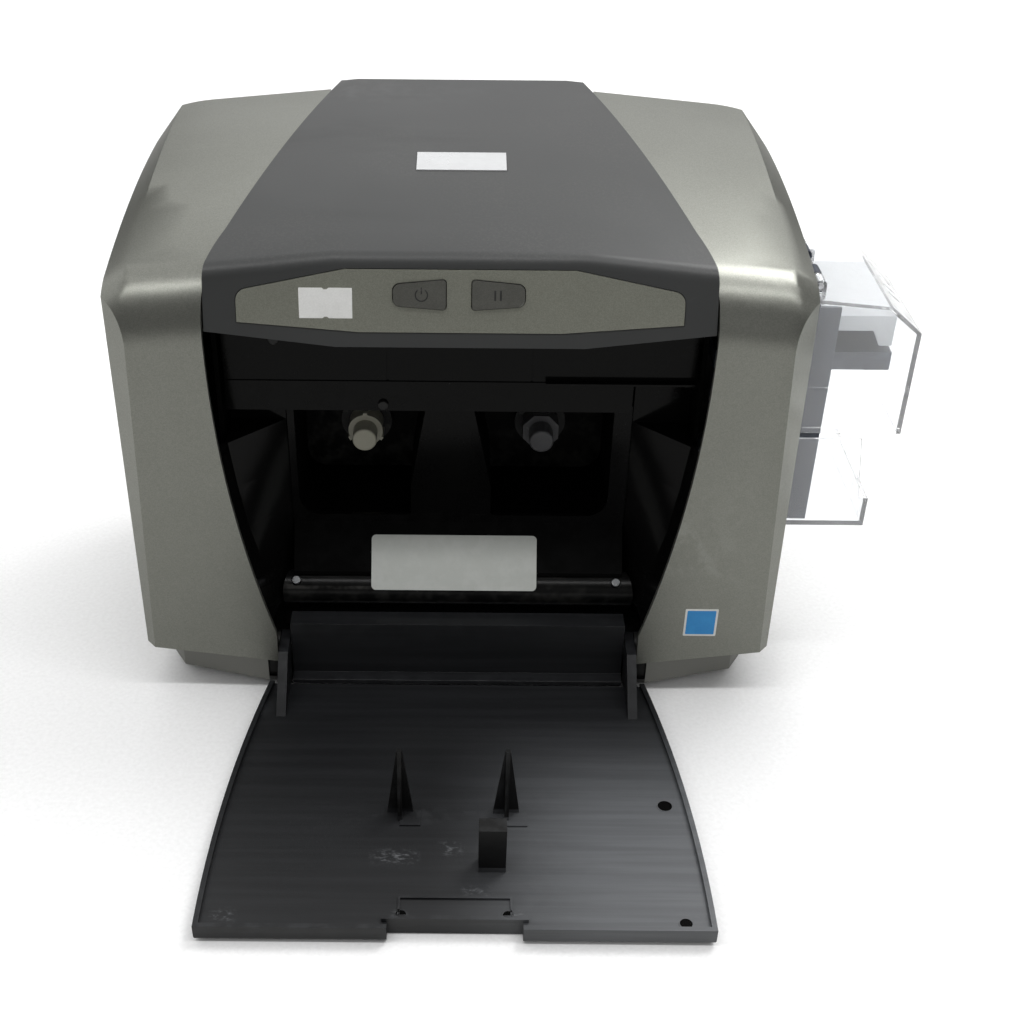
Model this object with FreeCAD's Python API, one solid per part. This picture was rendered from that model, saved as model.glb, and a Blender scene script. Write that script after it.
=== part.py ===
import FreeCAD, Part
import math
import os
from FreeCAD import Vector

# Desktop card printer with its front door let down and a clear card hopper on its right side.
# Lengths are in millimetres. X runs to the right, Y to the back and Z up.
# The shapes are drawn about the body's middle plane (X = 0) and the front face of the side shells
# (Y = 0). The last step moves them so that the origin is under the middle of the whole footprint.

# Body envelope
body_half_width = 150.0
shell_depth = 182.0
shell_wall = 2.5
shoulder_radius = 30.0
shoulder_height = 191.7
crown_rise_angle = 14.0
crown_rear_rise = 48.0
crown_rear_height = shoulder_height + crown_rear_rise
side_fall_share = 0.0927
crease_half_width = 52.0
band_inset = 10.5
band_half_width = body_half_width - band_inset
edge_drop_front = 6.0
edge_drop_rear = 13.0
rear_corner_radius = 26.0
bevel_top_inset = 10.7
bevel_face_top = body_half_width - bevel_top_inset
bevel_bottom_inset = 4.3
bevel_face_bottom = body_half_width - bevel_bottom_inset
bevel_top_rise = 8.3
bevel_top_height = shoulder_height + bevel_top_rise
bevel_bottom_height = 27.0
bevel_depth = 12.5
skirt_outer_height = 27.0
skirt_inner_height = 19.0
overrun = 5.0
fit_gap = 0.3
seam_gap = 0.8
running_gap = 0.05

# Front opening, wider towards the top
opening_half_width = 107.3
opening_radius = 547.0
opening_wide_drop = 6.7
opening_wide_height = shoulder_height - opening_wide_drop
opening_low_height = 36.0
opening_cut_depth = 10.0

# Base pan and feet
foot_height = 4.0
foot_radius = 8.0
foot_side_inset = 30.0
foot_x = body_half_width - foot_side_inset
foot_front_y = 35.0
foot_rear_inset = 24.0
foot_rear_y = shell_depth - foot_rear_inset
pan_floor = 2.5
pan_wall = 2.5
pan_side_inset = 7.5
pan_half_width = body_half_width - pan_side_inset
pan_corner_inset = 6.5
pan_corner_half_width = pan_half_width - pan_corner_inset
pan_corner_y = 16.0
pan_side_y = 27.0
pan_mouth_half_width = 92.5
pan_front_y = 4.0
pan_rear_inset = 5.5
pan_rear_y = shell_depth - pan_rear_inset
pan_wall_top = 27.3
pan_flange = 2.5
pan_rear_chamfer = 14.0

# Top cover
lid_front_half_width = 106.5
lid_mid_half_width = 99.2
lid_rear_half_width = 60.5
lid_mid_y = 35.0
lid_rear_overhang = 6.0
lid_rear_y = shell_depth + lid_rear_overhang
lid_lip_y = 1.5
lid_lip_drop = 1.2
lid_lip_height = shoulder_height - lid_lip_drop
lid_lip_bow = 4.6
lid_lip_end_rise = 1.5
lid_plan_bulge_share = 0.125
lid_face_tilt = 13.0
lid_brow_rise = 26.9
lid_brow_height = lid_lip_height + lid_brow_rise
lid_brow_chord = 8.0
lid_rise_angle = 12.5
lid_rear_rise = 24.5
lid_rear_height = lid_brow_height + lid_rear_rise
lid_crown_bulge = 4.8
lid_wall = 2.5
lid_skirt_depth = 9.0
lid_skirt_front_y = 24.0
lid_hinge_inset = 3.0
lid_hinge_y = shell_depth - lid_hinge_inset
lid_hinge_drop = 8.0
lid_relief_length = 7.0
lug_radius = 5.0
lug_width = 4.0
lug_x = 34.0
knuckle_width = 7.4
pin_radius = 2.5

# Control panel, buttons and plate on the cover, with places along the tilted face
panel_half_width = 92.5
panel_base_half_width = 42.0
panel_side_low = 5.4
panel_side_high = 18.3
panel_fold_half_width = 47.5
panel_top = 27.4
panel_bottom = 1.6
panel_corner_radius = 5.0
panel_thickness = 2.0
panel_proud = 0.4
button_inner_x = 4.8
button_outer_x = 26.5
power_button_shift = -1.2
button_inner_low = 11.2
button_inner_high = 23.4
button_outer_low = 12.8
button_outer_high = 21.4
button_proud = 1.4
button_depth = 4.2
button_gap = 0.35
button_inner_radius = 1.2
button_outer_radius = 3.0
button_travel = 1.0
plate_width = 40.0
plate_length = 17.0
plate_thickness = 1.2
plate_recess = 0.8
plate_y = 85.0

# Front door, lying open
door_inner_height = 9.0
door_rim_height = 2.0
door_rim_width = 2.2
door_clearance_under = 0.6
door_near_y = -2.5
door_length = 155.5
door_near_half_width = 91.3
door_mid_half_width = 101.3
door_mid_length = 67.5
door_far_half_width = 105.2
door_edge_radius = 2.5
door_shut_gap = 0.4
door_shut_height = 36.0
notch_half_width = 27.5
notch_depth = 5.0
pocket_half_width = 23.5
pocket_length = 11.0
pocket_ridge = 1.0
ear_inner_x = 81.3
ear_width = 4.5
ear_reach_y = -27.0
ear_top_y = -4.0
ear_top_height = 28.0
ear_root_height = 3.0
ear_hub_radius = 6.5
hinge_lug_gap = 0.4
hinge_lug_width = 7.0
pusher_left_x = -24.4
pusher_right_x = 22.0
pusher_y = -90.0
pusher_height = 36.0
pusher_width = 11.6
pusher_depth = 12.0
pusher_web = 1.8
pusher_tip = 2.2
pusher_pad = 9.0
pusher_pad_height = 0.8
latch_post_x = 15.3
latch_post_y = -121.8
latch_post_width = 11.5
latch_post_depth = 7.6
latch_post_height = 24.0

# Threshold between the hinge ears
threshold_y = 5.0
threshold_thickness = 2.5
threshold_top = 38.0
threshold_flange = 8.0
threshold_toe_gap = 1.0

# Mechanism: middle plane, card path and frame plates
mech_x = -4.5
floor_thickness = 2.0
floor_margin = 0.7
floor_half_width = opening_half_width + floor_margin
floor_front_y = 20.0
frame_thickness = 2.0
card_drop = 18.7
card_height = shoulder_height - card_drop
frame_rise = 0.3
frame_top = shoulder_height + frame_rise
header_y = 24.0
header_thickness = 3.0
header_drop = 29.5
header_bottom = card_height - header_drop
header_top_drop = 1.7
header_top = shoulder_height - header_top_drop
header_end_gap = 2.0
header_half_width = floor_half_width - frame_thickness - header_end_gap
header_step_rise = 14.5
header_step_height = header_bottom + header_step_rise
header_step = 0.6
header_seam_half_pitch = 31.8
header_seam_width = 0.8
header_seam_depth = 0.4
header_notch_x = 77.0
header_ledge_start = 38.0
header_ledge_thickness = 1.0
header_ledge_depth = 3.0
header_screw_left = -81.0
header_screw_middle = -34.0
header_screw_fall = 12.0
header_screw_rise = 3.2
cheek_wall = 2.0
cheek_front_y = 2.8
cheek_margin = 0.5
cheek_lean = 1.0
cheek_turn_y = 17.0
cheek_back_x = 80.0
cheek_bottom = 40.0
cheek_drop = 13.2
cheek_top = header_bottom - cheek_drop
cheek_level_shares = [0, 0.25, 0.5, 0.75, 1]
cheek_shelf_thickness = 2.0
window_plate_y = 40.0
window_plate_thickness = 2.5
window_plate_drop = 5.5
window_plate_top = header_bottom - window_plate_drop
rear_bulkhead_y = 87.0
rear_bulkhead_thickness = 2.0
rear_bulkhead_left_margin = 4.0
rear_bulkhead_left = -floor_half_width - rear_bulkhead_left_margin
rear_bulkhead_side = 17.0
rear_bulkhead_right = body_half_width - rear_bulkhead_side
rear_bulkhead_rise = 4.0
rear_bulkhead_top = frame_top + rear_bulkhead_rise
gear_plate_y = 106.5
gear_plate_thickness = 2.0
gear_plate_left = -86.0
gear_plate_right = 80.0
gear_plate_low_share = 0.3468
gear_plate_bottom = card_height * gear_plate_low_share
gear_plate_drop = 31.0
gear_plate_top = card_height - gear_plate_drop
standoff_radius = 3.0
standoff_inset = 6.0
standoff_top_inset = 12.0

# Windows in the plate, either side of the centre post
window_outer_left = -76.4
window_outer_right = 71.4
window_sill_share = 0.4526
window_sill = card_height * window_sill_share
window_corner_radius = 10.0
post_top_left = -15.2
post_top_right = 6.2
post_foot_left = -22.9
post_foot_right = 15.3
post_fold_rise = 15.7
post_fold_height = window_sill + post_fold_rise
bay_wall = 1.8

# Apron, cross bar and label below the windows
apron_top_drop = 3.8
apron_top_height = window_sill - apron_top_drop
apron_crease_y = 25.6
apron_wall = 2.2
bar_y = 28.0
bar_height_share = 0.2543
bar_height = card_height * bar_height_share
bar_radius = 8.2
apron_bar_gap = 2.5
apron_crease_height = bar_height + bar_radius + apron_bar_gap
bar_screw_left_x = -78.5
bar_screw_right_x = 76.6
label_width = 80.0
label_length = 26.8
label_thickness = 0.3
label_x = -2.0
label_fold_length = 8.9
label_corner_radius = 2.2
label_gap = 0.1
screw_head_radius = 2.3
screw_head_height = 1.6
screw_edge_radius = 0.5
screw_look_angle = 55.0

# Card transport
card_thickness = 0.8
card_half_width = 27.0
card_middle_y = 55.5
roller_gap = 0.2
roller_radius = 6.0
shaft_radius = 3.0
journal_depth = 1.8
sleeve_margin = 3.0
pick_half_width = 13.5
outfeed_x = -68.0
infeed_x = 62.0
pick_side = 32.0
pick_x = body_half_width - pick_side
idler_side = 26.0
idler_x = body_half_width - idler_side
belt_thickness = 1.0
belt_width = 5.0
belt_y = 92.0
pulley_gap = 0.3
pulley_flange = 1.2
rail_left_inset = 4.0
rail_right_inset = 1.0
rail_left_x = rail_left_inset - floor_half_width
rail_right_x = floor_half_width - rail_right_inset
rail_height = 6.0
rail_bite = 1.2
rail_slot = 1.4
motor_drop = 48.8
motor_half_width = 17.0
motor_shaft_radius = 2.5
motor_chamfer = 2.8

# Ribbon drive
takeup_x = -46.0
supply_x = 40.0
spindle_height_share = 0.6127
spindle_height = card_height * spindle_height_share
spindle_tip_y = 63.0
spindle_step_y = 73.0
spindle_tip_radius = 5.9
spindle_radius = 9.4
spindle_flange_radius = 12.5
spindle_flange_width = 2.5
spindle_rib = 1.0
spindle_rib_count = 3
spindle_side_count = 8
gear_module = 1.0
gear_y = 99.0
gear_width = 5.0
takeup_teeth = 36
pinion_teeth = 12
cam_teeth = 24
tooth_root_half_share = 0.33
tooth_tip_half_share = 0.11
tooth_addendum_share = 0.85
tooth_dedendum_share = 1.2
ribbon_motor_radius = 12.0
ribbon_motor_angle = 225.0
pinion_shaft_radius = 1.5
pinion_hub_radius = 3.2
motor_cap_share = 0.5
motor_cap_length = 2.5

# Print head and its lift
cam_drop = 8.0
cam_height = spindle_height - cam_drop
cam_low_radius = 6.0
head_lift = 3.0
cam_steps = 36
cam_start_angle = 90.0
cam_rise_angle = 180.0
cam_fall_angle = 90.0
cam_tooth_angle = 270.0
cam_width = 4.0
cam_front_y = 51.0
cam_rear_y = 76.0
cam_motor_radius = 9.0
follower_width = 2.0
follower_length = 2.6
follower_gap = 0.5
carrier_half_width = 7.0
carrier_wall = 3.0
carrier_clearance = 0.3
head_top_gap = 0.1
head_thickness = 1.6
head_half_width = 5.0
head_bead = 0.4
heatsink_half_width = 8.0
heatsink_height = 10.0
heatsink_fin = 2.0
heatsink_slot_count = 2

# Rear panel, board and sockets
rear_panel_side = 32.8
rear_panel_half_width = body_half_width - rear_panel_side
rear_panel_thickness = 2.5
rear_panel_inset = 1.5
rear_panel_drop = 16.7
rear_panel_top = crown_rear_height - rear_panel_drop
rear_shelf_inset = 49.2
rear_shelf_half_width = rear_panel_half_width - rear_shelf_inset
vent_count = 9
vent_pitch = 8.0
vent_width = 3.0
vent_length = 46.0
vent_drop = 73.0
vent_low = rear_panel_top - vent_drop
board_inset = 18.0
board_y = shell_depth - board_inset
motor_length_share = 0.4685
motor_length = (board_y - gear_plate_y - gear_plate_thickness) * motor_length_share
ribbon_motor_length = motor_length
board_thickness = 1.6
board_side = 17.2
board_left = board_side - rear_panel_half_width
board_right = 60.0
board_low = 38.0
board_high = 128.0
board_boss_inset = 4.0
board_part_shares = [(0.3, 0.6), (0.55, 0.6), (0.75, 0.7), (0.85, 0.3)]
board_part_widths = [12.0, 12.0, 6.0, 6.0]
board_part_depths = [2.0, 2.0, 6.0, 12.0]
usb_side = 62.2
usb_x = usb_side - rear_panel_half_width
usb_width = 12.0
usb_height = 11.0
usb_cavity_width = 8.6
usb_cavity_height = 8.0
usb_tongue_width = 5.6
usb_tongue_height = 2.4
usb_tongue_gap = 0.8
usb_tongue_inset = 2.4
usb_depth_share = 0.7
socket_height = 52.0
power_side = 33.2
power_x = power_side - rear_panel_half_width
power_width = 16.0
power_bore_radius = 6.0
power_bore_depth = 11.0
power_pin_radius = 0.9
power_pin_length = 5.0
power_pin_ring = 3.0
power_pin_count = 4

# Card hopper
hopper_front_y = 24.0
hopper_rear_y = 87.0
hopper_rise = 24.0
hopper_length = 113.0
hopper_high = card_height + hopper_rise
hopper_low = hopper_high - hopper_length
hopper_flange = 2.5
hopper_flange_reach = 2.0
hopper_sleeve_wall = 2.2
hopper_cut_inset = 2.5
hopper_web_rise = 48.0
hopper_web_height = 6.0
hopper_web_low = hopper_low + hopper_web_rise
hopper_web_high = hopper_web_low + hopper_web_height
hopper_rail_reach = 10.2
hopper_rail_width = 2.0
cover_length = 48.5
cover_reach = body_half_width + cover_length
cover_bottom_rise = 51.0
cover_bottom = hopper_low + cover_bottom_rise
cover_top_rise = 2.0
cover_top_inner = hopper_high + cover_top_rise
cover_top_fall = 3.0
cover_top_outer = cover_top_inner - cover_top_fall
cover_fold_inset = 14.5
cover_fold_x = cover_reach - cover_fold_inset
cover_fold_fall = 12.0
cover_fold_height = cover_top_outer - cover_fold_fall
cover_wall = 1.8
cover_side_gap = 0.3
cover_rib = 1.0
cover_rib_height = 2.4
cover_rib_rises = [22.0, 2.0]
cover_rib_places = [cover_bottom + rise for rise in cover_rib_rises]
cover_slot_count = 3
cover_slot_pitch = 9.0
cover_slot_width = 2.0
cover_slot_length = 7.0
hopper_pin_radius = 1.2
hopper_knuckle_radius = 2.6
hopper_pin_x_offset = 0.8
hopper_knuckle_width = 9.0
hopper_knuckle_inset = 6.0
hopper_rail_inset = 0.8
tray_drop = 0.5
tray_top = card_height - tray_drop
tray_height = 8.5
tray_wall = 2.0
tray_left_gap = 2.0
tray_end_inset = 9.5
tray_reach = cover_reach - tray_end_inset
tray_half_width = 27.6
tray_travel = 25.0
tray_post_side = 20.0
tray_post_x = body_half_width - tray_post_side
tray_post_radius = 3.0
tray_post_pitch = 34.0
tray_sleeve_wall = 1.6
tray_sleeve_length = 37.5
tray_sleeve_bottom = tray_top - tray_sleeve_length
tray_base_rise = 17.0
tray_base_height = hopper_low + tray_base_rise
tray_base_thickness = 3.0
tray_base_length = 30.0
spring_radius = 6.0
spring_wire = 1.2
bin_end_inset = 8.5
bin_reach = cover_reach - bin_end_inset
bin_rise = 2.0
bin_height = 46.0
bin_lip_height = 15.0
bin_low = hopper_low + bin_rise
bin_high = bin_low + bin_height
bin_lip_high = bin_low + bin_lip_height
bin_wall = 1.8
bin_lip_reach = 4.4
cap_end_inset = 10.5
cap_reach = cover_reach - cap_end_inset
cap_rise = 3.0
cap_height = 14.0
cap_low = card_height + cap_rise
cap_high = cap_low + cap_height
cap_wall = 2.0
cap_notch_width = 24.0
cap_notch_height = 7.0

# Rear screws
rear_screw_side = 11.2
rear_screw_x = rear_panel_half_width - rear_screw_side
rear_screw_low = 42.0
rear_screw_drop = 13.0
rear_screw_high = rear_panel_top - rear_screw_drop


def box(x0, x1, y0, y1, z0, z1):
    """Return a block between two corners."""
    return Part.makeBox(x1 - x0, y1 - y0, z1 - z0, Vector(x0, y0, z0))


def rod(axis, first, second, radius, low, high):
    """Return a cylinder along an axis; first and second are its other two coordinates."""
    starts = {
        "x": (Vector(low, first, second), Vector(1, 0, 0)),
        "y": (Vector(first, low, second), Vector(0, 1, 0)),
        "z": (Vector(first, second, low), Vector(0, 0, 1)),
    }
    start, direction = starts[axis]
    return Part.makeCylinder(radius, high - low, start, direction)


def lifted(plane, first, second, level):
    """Return the point of a plane's two coordinates at a level along the third."""
    if plane == "yz":
        return Vector(level, first, second)
    if plane == "xz":
        return Vector(first, level, second)
    return Vector(first, second, level)


def polygon_face(points):
    """Return the flat face inside a closed run of straight edges."""
    return Part.Face(Part.makePolygon(list(points) + [points[0]]))


def prism(plane, outline, low, high):
    """Return a straight-edged outline extruded from one level to another."""
    face = polygon_face([lifted(plane, a, b, low) for a, b in outline])
    travel = lifted(plane, 0, 0, high) - lifted(plane, 0, 0, low)
    return face.extrude(travel)


def rounded_wire(points, radii):
    """Return a closed wire through flat points, with a tangent arc at each corner that has a radius."""
    edges = []
    ends = []
    for index, corner in enumerate(points):
        before = points[index - 1] - corner
        after = points[(index + 1) % len(points)] - corner
        radius = radii[index]
        if radius == 0:
            ends.append((corner, corner, None))
            continue
        before.normalize()
        after.normalize()
        half_angle = before.getAngle(after) / 2
        reach = radius / math.tan(half_angle)
        middle = before + after
        middle.normalize()
        crown = corner + middle * (radius / math.sin(half_angle) - radius)
        ends.append((corner + before * reach, corner + after * reach, crown))
    for index, (start, end, crown) in enumerate(ends):
        if crown is not None:
            edges.append(Part.Arc(start, crown, end).toShape())
        edges.append(Part.makeLine(end, ends[(index + 1) % len(ends)][0]))
    return Part.Wire(edges)


def mirrored(shape):
    """Return the shape's mirror image about the body's middle plane."""
    return shape.mirror(Vector(0, 0, 0), Vector(1, 0, 0))


def joined(shapes):
    """Return one solid made of touching or overlapping solids."""
    first, *others = shapes
    return first.fuse(others).removeSplitter()


def circle_through(start, middle, end):
    """Return the centre and radius of the circle through three places (y, z)."""
    (ay, az), (by, bz), (cy, cz) = start, middle, end
    double_area = 2 * (ay * (bz - cz) + by * (cz - az) + cy * (az - bz))
    a2 = ay * ay + az * az
    b2 = by * by + bz * bz
    c2 = cy * cy + cz * cz
    centre_y = (a2 * (bz - cz) + b2 * (cz - az) + c2 * (az - bz)) / double_area
    centre_z = (a2 * (cy - by) + b2 * (ay - cy) + c2 * (by - ay)) / double_area
    return centre_y, centre_z, math.hypot(ay - centre_y, az - centre_z)


# Places worked out from the sizes above
rise = math.radians(crown_rise_angle)
crown_start_y = shoulder_radius * (1 - math.sin(rise))
crown_start_z = shoulder_height + shoulder_radius * math.cos(rise)
crown_chord = math.hypot(shell_depth - crown_start_y, crown_rear_height - crown_start_z)
crown_slope = math.atan2(crown_rear_height - crown_start_z, shell_depth - crown_start_y)
crown_radius = crown_chord / (2 * math.sin(rise - crown_slope))
crown_centre_y = crown_start_y + crown_radius * math.sin(rise)
crown_centre_z = crown_start_z - crown_radius * math.cos(rise)

tilt = math.radians(lid_face_tilt)
lid_rise = math.radians(lid_rise_angle)
brow_y = lid_lip_y + (lid_brow_height - lid_lip_height) * math.tan(tilt)
brow_angle = (math.pi / 2 - tilt + lid_rise) / 2
brow_turn = (math.pi / 2 - tilt - lid_rise) / 2
lid_crown_y = brow_y + lid_brow_chord * math.cos(brow_angle)
lid_crown_z = lid_brow_height + lid_brow_chord * math.sin(brow_angle)
lid_middle = ((lid_crown_y + lid_rear_y) / 2, (lid_crown_z + lid_rear_height) / 2 + lid_crown_bulge)
lid_centre_y, lid_centre_z, lid_radius = circle_through(
    (lid_crown_y, lid_crown_z), lid_middle, (lid_rear_y, lid_rear_height))
lid_side_x = lid_front_half_width + shell_wall
lid_hinge_roof = lid_centre_z + math.sqrt(lid_radius ** 2 - (lid_hinge_y - lid_centre_y) ** 2)
lid_hinge_z = lid_hinge_roof - lid_wall - lid_hinge_drop
face_inward = Vector(0, math.cos(tilt), -math.sin(tilt))
button_sides = {"power_button": (-1, power_button_shift), "pause_button": (1, 0)}
lid_plan_slope = (lid_mid_half_width - lid_rear_half_width) / (lid_rear_y - lid_mid_y)

pan_bottom = foot_height
pan_top = pan_wall_top + pan_flange
pan_inside = pan_bottom + pan_floor
floor_top = pan_inside + floor_thickness

door_hinge_sum = door_shut_height + door_near_y
door_hinge_y = (door_hinge_sum - door_inner_height - door_shut_gap) / 2
door_hinge_z = (door_hinge_sum + door_inner_height + door_shut_gap) / 2
door_far_y = door_near_y - door_length
door_floor = door_inner_height - door_rim_height
hinge_lug_x = ear_inner_x + ear_width + hinge_lug_gap

frame_x = floor_half_width
cheek_shelf_x = frame_x - frame_thickness - fit_gap
header_back_y = header_y + header_thickness
window_plate_back_y = window_plate_y + window_plate_thickness
bulkhead_back_y = rear_bulkhead_y + rear_bulkhead_thickness
gear_plate_back_y = gear_plate_y + gear_plate_thickness
drive_axis_z = card_height - roller_gap - roller_radius
upper_axis_z = card_height + card_thickness + roller_gap + roller_radius
pulley_pitch_radius = (upper_axis_z - drive_axis_z) / 2
pulley_radius = pulley_pitch_radius - belt_thickness / 2 - pulley_gap
motor_axis_z = drive_axis_z - motor_drop
sleeve_front_y = card_middle_y - card_half_width + sleeve_margin
sleeve_rear_y = card_middle_y + card_half_width - sleeve_margin
journal_front_y = header_back_y - journal_depth
journal_rear_y = bulkhead_back_y - journal_depth + running_gap
front_journals = [(mech_x, upper_axis_z), (outfeed_x, upper_axis_z), (infeed_x, upper_axis_z),
                  (outfeed_x, drive_axis_z), (infeed_x, drive_axis_z)]

takeup_pitch = gear_module * takeup_teeth / 2
pinion_pitch = gear_module * pinion_teeth / 2
cam_pitch = gear_module * cam_teeth / 2
ribbon_motor_x = takeup_x + (takeup_pitch + pinion_pitch) * math.cos(math.radians(ribbon_motor_angle))
ribbon_motor_z = spindle_height + (takeup_pitch + pinion_pitch) * math.sin(math.radians(ribbon_motor_angle))
cam_motor_z = cam_height - cam_pitch - pinion_pitch
head_top_z = card_height - head_lift - head_top_gap
head_seat_z = head_top_z - head_bead - head_thickness

rear_panel_y = shell_depth - rear_panel_inset - rear_panel_thickness
rear_panel_back_y = rear_panel_y + rear_panel_thickness
flange_x = body_half_width + fit_gap
flange_outer_x = flange_x + hopper_flange
cover_left_x = flange_outer_x + fit_gap
cover_front_y = hopper_front_y - cover_side_gap - cover_wall
cover_rear_y = hopper_rear_y + cover_side_gap + cover_wall
hopper_pin_x = cover_left_x + hopper_pin_x_offset
hopper_pin_z = cover_top_inner + fit_gap + hopper_knuckle_radius
hopper_knuckle_places = [hopper_front_y + hopper_knuckle_inset,
                         hopper_rear_y - hopper_knuckle_inset - hopper_knuckle_width]
tray_left_x = frame_x + frame_thickness + tray_left_gap

# The origin lies under the middle of the footprint, with the door open and the hopper fitted
shift = Vector((body_half_width - cover_reach) / 2, -(door_far_y + lid_rear_y) / 2, 0)


def save(name, *shapes):
    """Place a node's solids about the origin and write its file."""
    solids = [solid for shape in shapes for solid in shape.Solids]
    node = solids[0] if len(solids) == 1 else Part.makeCompound(solids)
    node.translate(shift)
    node.exportStep("parts/" + name + ".step")


def opening_half(height):
    """Return half the front opening's width at a height."""
    level = max(height, opening_low_height)
    sag = opening_wide_height - level
    return opening_half_width - opening_radius + math.sqrt(opening_radius ** 2 - sag ** 2)


def cheek_turn_x(height):
    """Return where a cavity cheek turns inwards behind the opening's edge."""
    return opening_half(height) + cheek_margin - cheek_lean


def cheek_inner_x(height, y):
    """Return the inner face of a cavity cheek at a height and a depth behind its turn."""
    turn_x = cheek_turn_x(height)
    share = (y - cheek_turn_y) / (window_plate_y - cheek_turn_y)
    return turn_x + (cheek_back_x - turn_x) * share


def hull_section(x, inset, front_drop, rear_drop):
    """Return the body's side profile at one X, set in from its skin."""
    radius = shoulder_radius - inset
    back = shell_depth - inset
    roof = crown_radius - inset
    low = Vector(x, inset, 0)
    front = Vector(x, inset, shoulder_height - front_drop)
    half_turn = (math.pi / 2 - rise) / 2
    shoulder = Vector(x, shoulder_radius - radius * math.cos(half_turn),
                      shoulder_height + radius * math.sin(half_turn) - front_drop)
    crown = Vector(x, shoulder_radius - radius * math.sin(rise),
                   shoulder_height + radius * math.cos(rise) - front_drop)
    middle_y = (crown.y + back) / 2
    middle = Vector(x, middle_y, crown_centre_z - (front_drop + rear_drop) / 2
                    + math.sqrt(roof ** 2 - (middle_y - crown_centre_y) ** 2))
    rear = Vector(x, back, crown_centre_z - rear_drop + math.sqrt(roof ** 2 - (back - crown_centre_y) ** 2))
    rear_low = Vector(x, back, 0)
    return Part.Wire([
        Part.makeLine(low, front),
        Part.Arc(front, shoulder, crown).toShape(),
        Part.Arc(crown, middle, rear).toShape(),
        Part.makeLine(rear, rear_low),
        Part.makeLine(rear_low, low),
    ])


def roof_height(x, y, inset):
    """Return the height of the body's skin, set in, between its crease and its band."""
    roof = crown_radius - inset
    fall = side_fall_share * (x - crease_half_width)
    return crown_centre_z + math.sqrt(roof ** 2 - (y - crown_centre_y) ** 2) - fall


def bevel_cutter(inset):
    """Return the wedge that bevels the front's outer edge, set in with the skin."""
    lean = (bevel_face_top - bevel_face_bottom) / (bevel_top_height - bevel_bottom_height)
    slope = bevel_depth / (body_half_width - bevel_face_top)
    reach = body_half_width - bevel_face_top + overrun
    x = bevel_face_bottom - bevel_bottom_height * lean
    high = crown_rear_height + shoulder_radius
    foot = polygon_face([
        Vector(x - overrun, -overrun * slope, 0),
        Vector(x + 2 * reach, 2 * reach * slope, 0),
        Vector(x + 2 * reach, -overrun * slope, 0),
    ])
    wedge = foot.extrude(Vector(high * lean, 0, high))
    length = math.hypot(slope, 1)
    wedge.translate(Vector(-inset * slope / length, inset / length, 0))
    return wedge


def corner_column(inset, high):
    """Return the block inside the shells' rounded rear corners, right half only."""
    x = body_half_width - inset
    y = shell_depth - inset
    outline = rounded_wire([
        Vector(0, -overrun, 0),
        Vector(x, -overrun, 0),
        Vector(x, y, 0),
        Vector(0, y, 0),
    ], [0, 0, rear_corner_radius - inset, 0])
    return Part.Face(outline).extrude(Vector(0, 0, high))


def side_hull(inset):
    """Return the solid right half of the body, from the crease out, set in from its skin."""
    fall = side_fall_share * (band_half_width - crease_half_width)
    sections = [
        hull_section(crease_half_width, inset, 0, 0),
        hull_section(band_half_width - inset / 2, inset, fall, fall),
        hull_section(body_half_width - inset, inset, fall + edge_drop_front, fall + edge_drop_rear),
    ]
    hull = Part.makeLoft(sections, True, True).cut(bevel_cutter(inset))
    return hull.common(corner_column(inset, crown_rear_height + shoulder_radius))


def lid_plan(grow, front_y, low, high):
    """Return the column that stands on the top cover's outline, grown all round."""
    front = lid_front_half_width + grow
    middle = lid_mid_half_width + grow
    rear = lid_rear_half_width + grow
    back_y = lid_rear_y + overrun
    rear -= lid_plan_slope * overrun
    near_y = (lid_lip_y + lid_mid_y) / 2
    near = (front + middle) / 2 + lid_plan_slope * (lid_mid_y - lid_lip_y) * lid_plan_bulge_share
    edges = []
    for side in (1, -1):
        edges.append(Part.makeLine(Vector(side * front, front_y, low), Vector(side * front, lid_lip_y, low)))
        edges.append(Part.Arc(Vector(side * front, lid_lip_y, low), Vector(side * near, near_y, low),
                              Vector(side * middle, lid_mid_y, low)).toShape())
        edges.append(Part.makeLine(Vector(side * middle, lid_mid_y, low), Vector(side * rear, back_y, low)))
    edges.append(Part.makeLine(Vector(-front, front_y, low), Vector(front, front_y, low)))
    edges.append(Part.makeLine(Vector(-rear, back_y, low), Vector(rear, back_y, low)))
    outline = Part.Wire(Part.sortEdges(edges)[0])
    return Part.Face(outline).extrude(Vector(0, 0, high - low))


def opening_cutter(low, high, front_y, back_y):
    """Return the block that cuts the front opening."""
    middle = (opening_low_height + opening_wide_height) / 2
    edges = []
    for side in (1, -1):
        foot = Vector(side * opening_half(low), front_y, low)
        knee = Vector(side * opening_half(opening_low_height), front_y, opening_low_height)
        bulge = Vector(side * opening_half(middle), front_y, middle)
        hip = Vector(side * opening_half_width, front_y, opening_wide_height)
        head = Vector(side * opening_half_width, front_y, high)
        edges.append(Part.makeLine(foot, knee))
        edges.append(Part.Arc(knee, bulge, hip).toShape())
        edges.append(Part.makeLine(hip, head))
    edges.append(Part.makeLine(Vector(-opening_half(low), front_y, low),
                               Vector(opening_half(low), front_y, low)))
    edges.append(Part.makeLine(Vector(-opening_half_width, front_y, high),
                               Vector(opening_half_width, front_y, high)))
    outline = Part.Wire(Part.sortEdges(edges)[0])
    return Part.Face(outline).extrude(Vector(0, back_y - front_y, 0))


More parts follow.
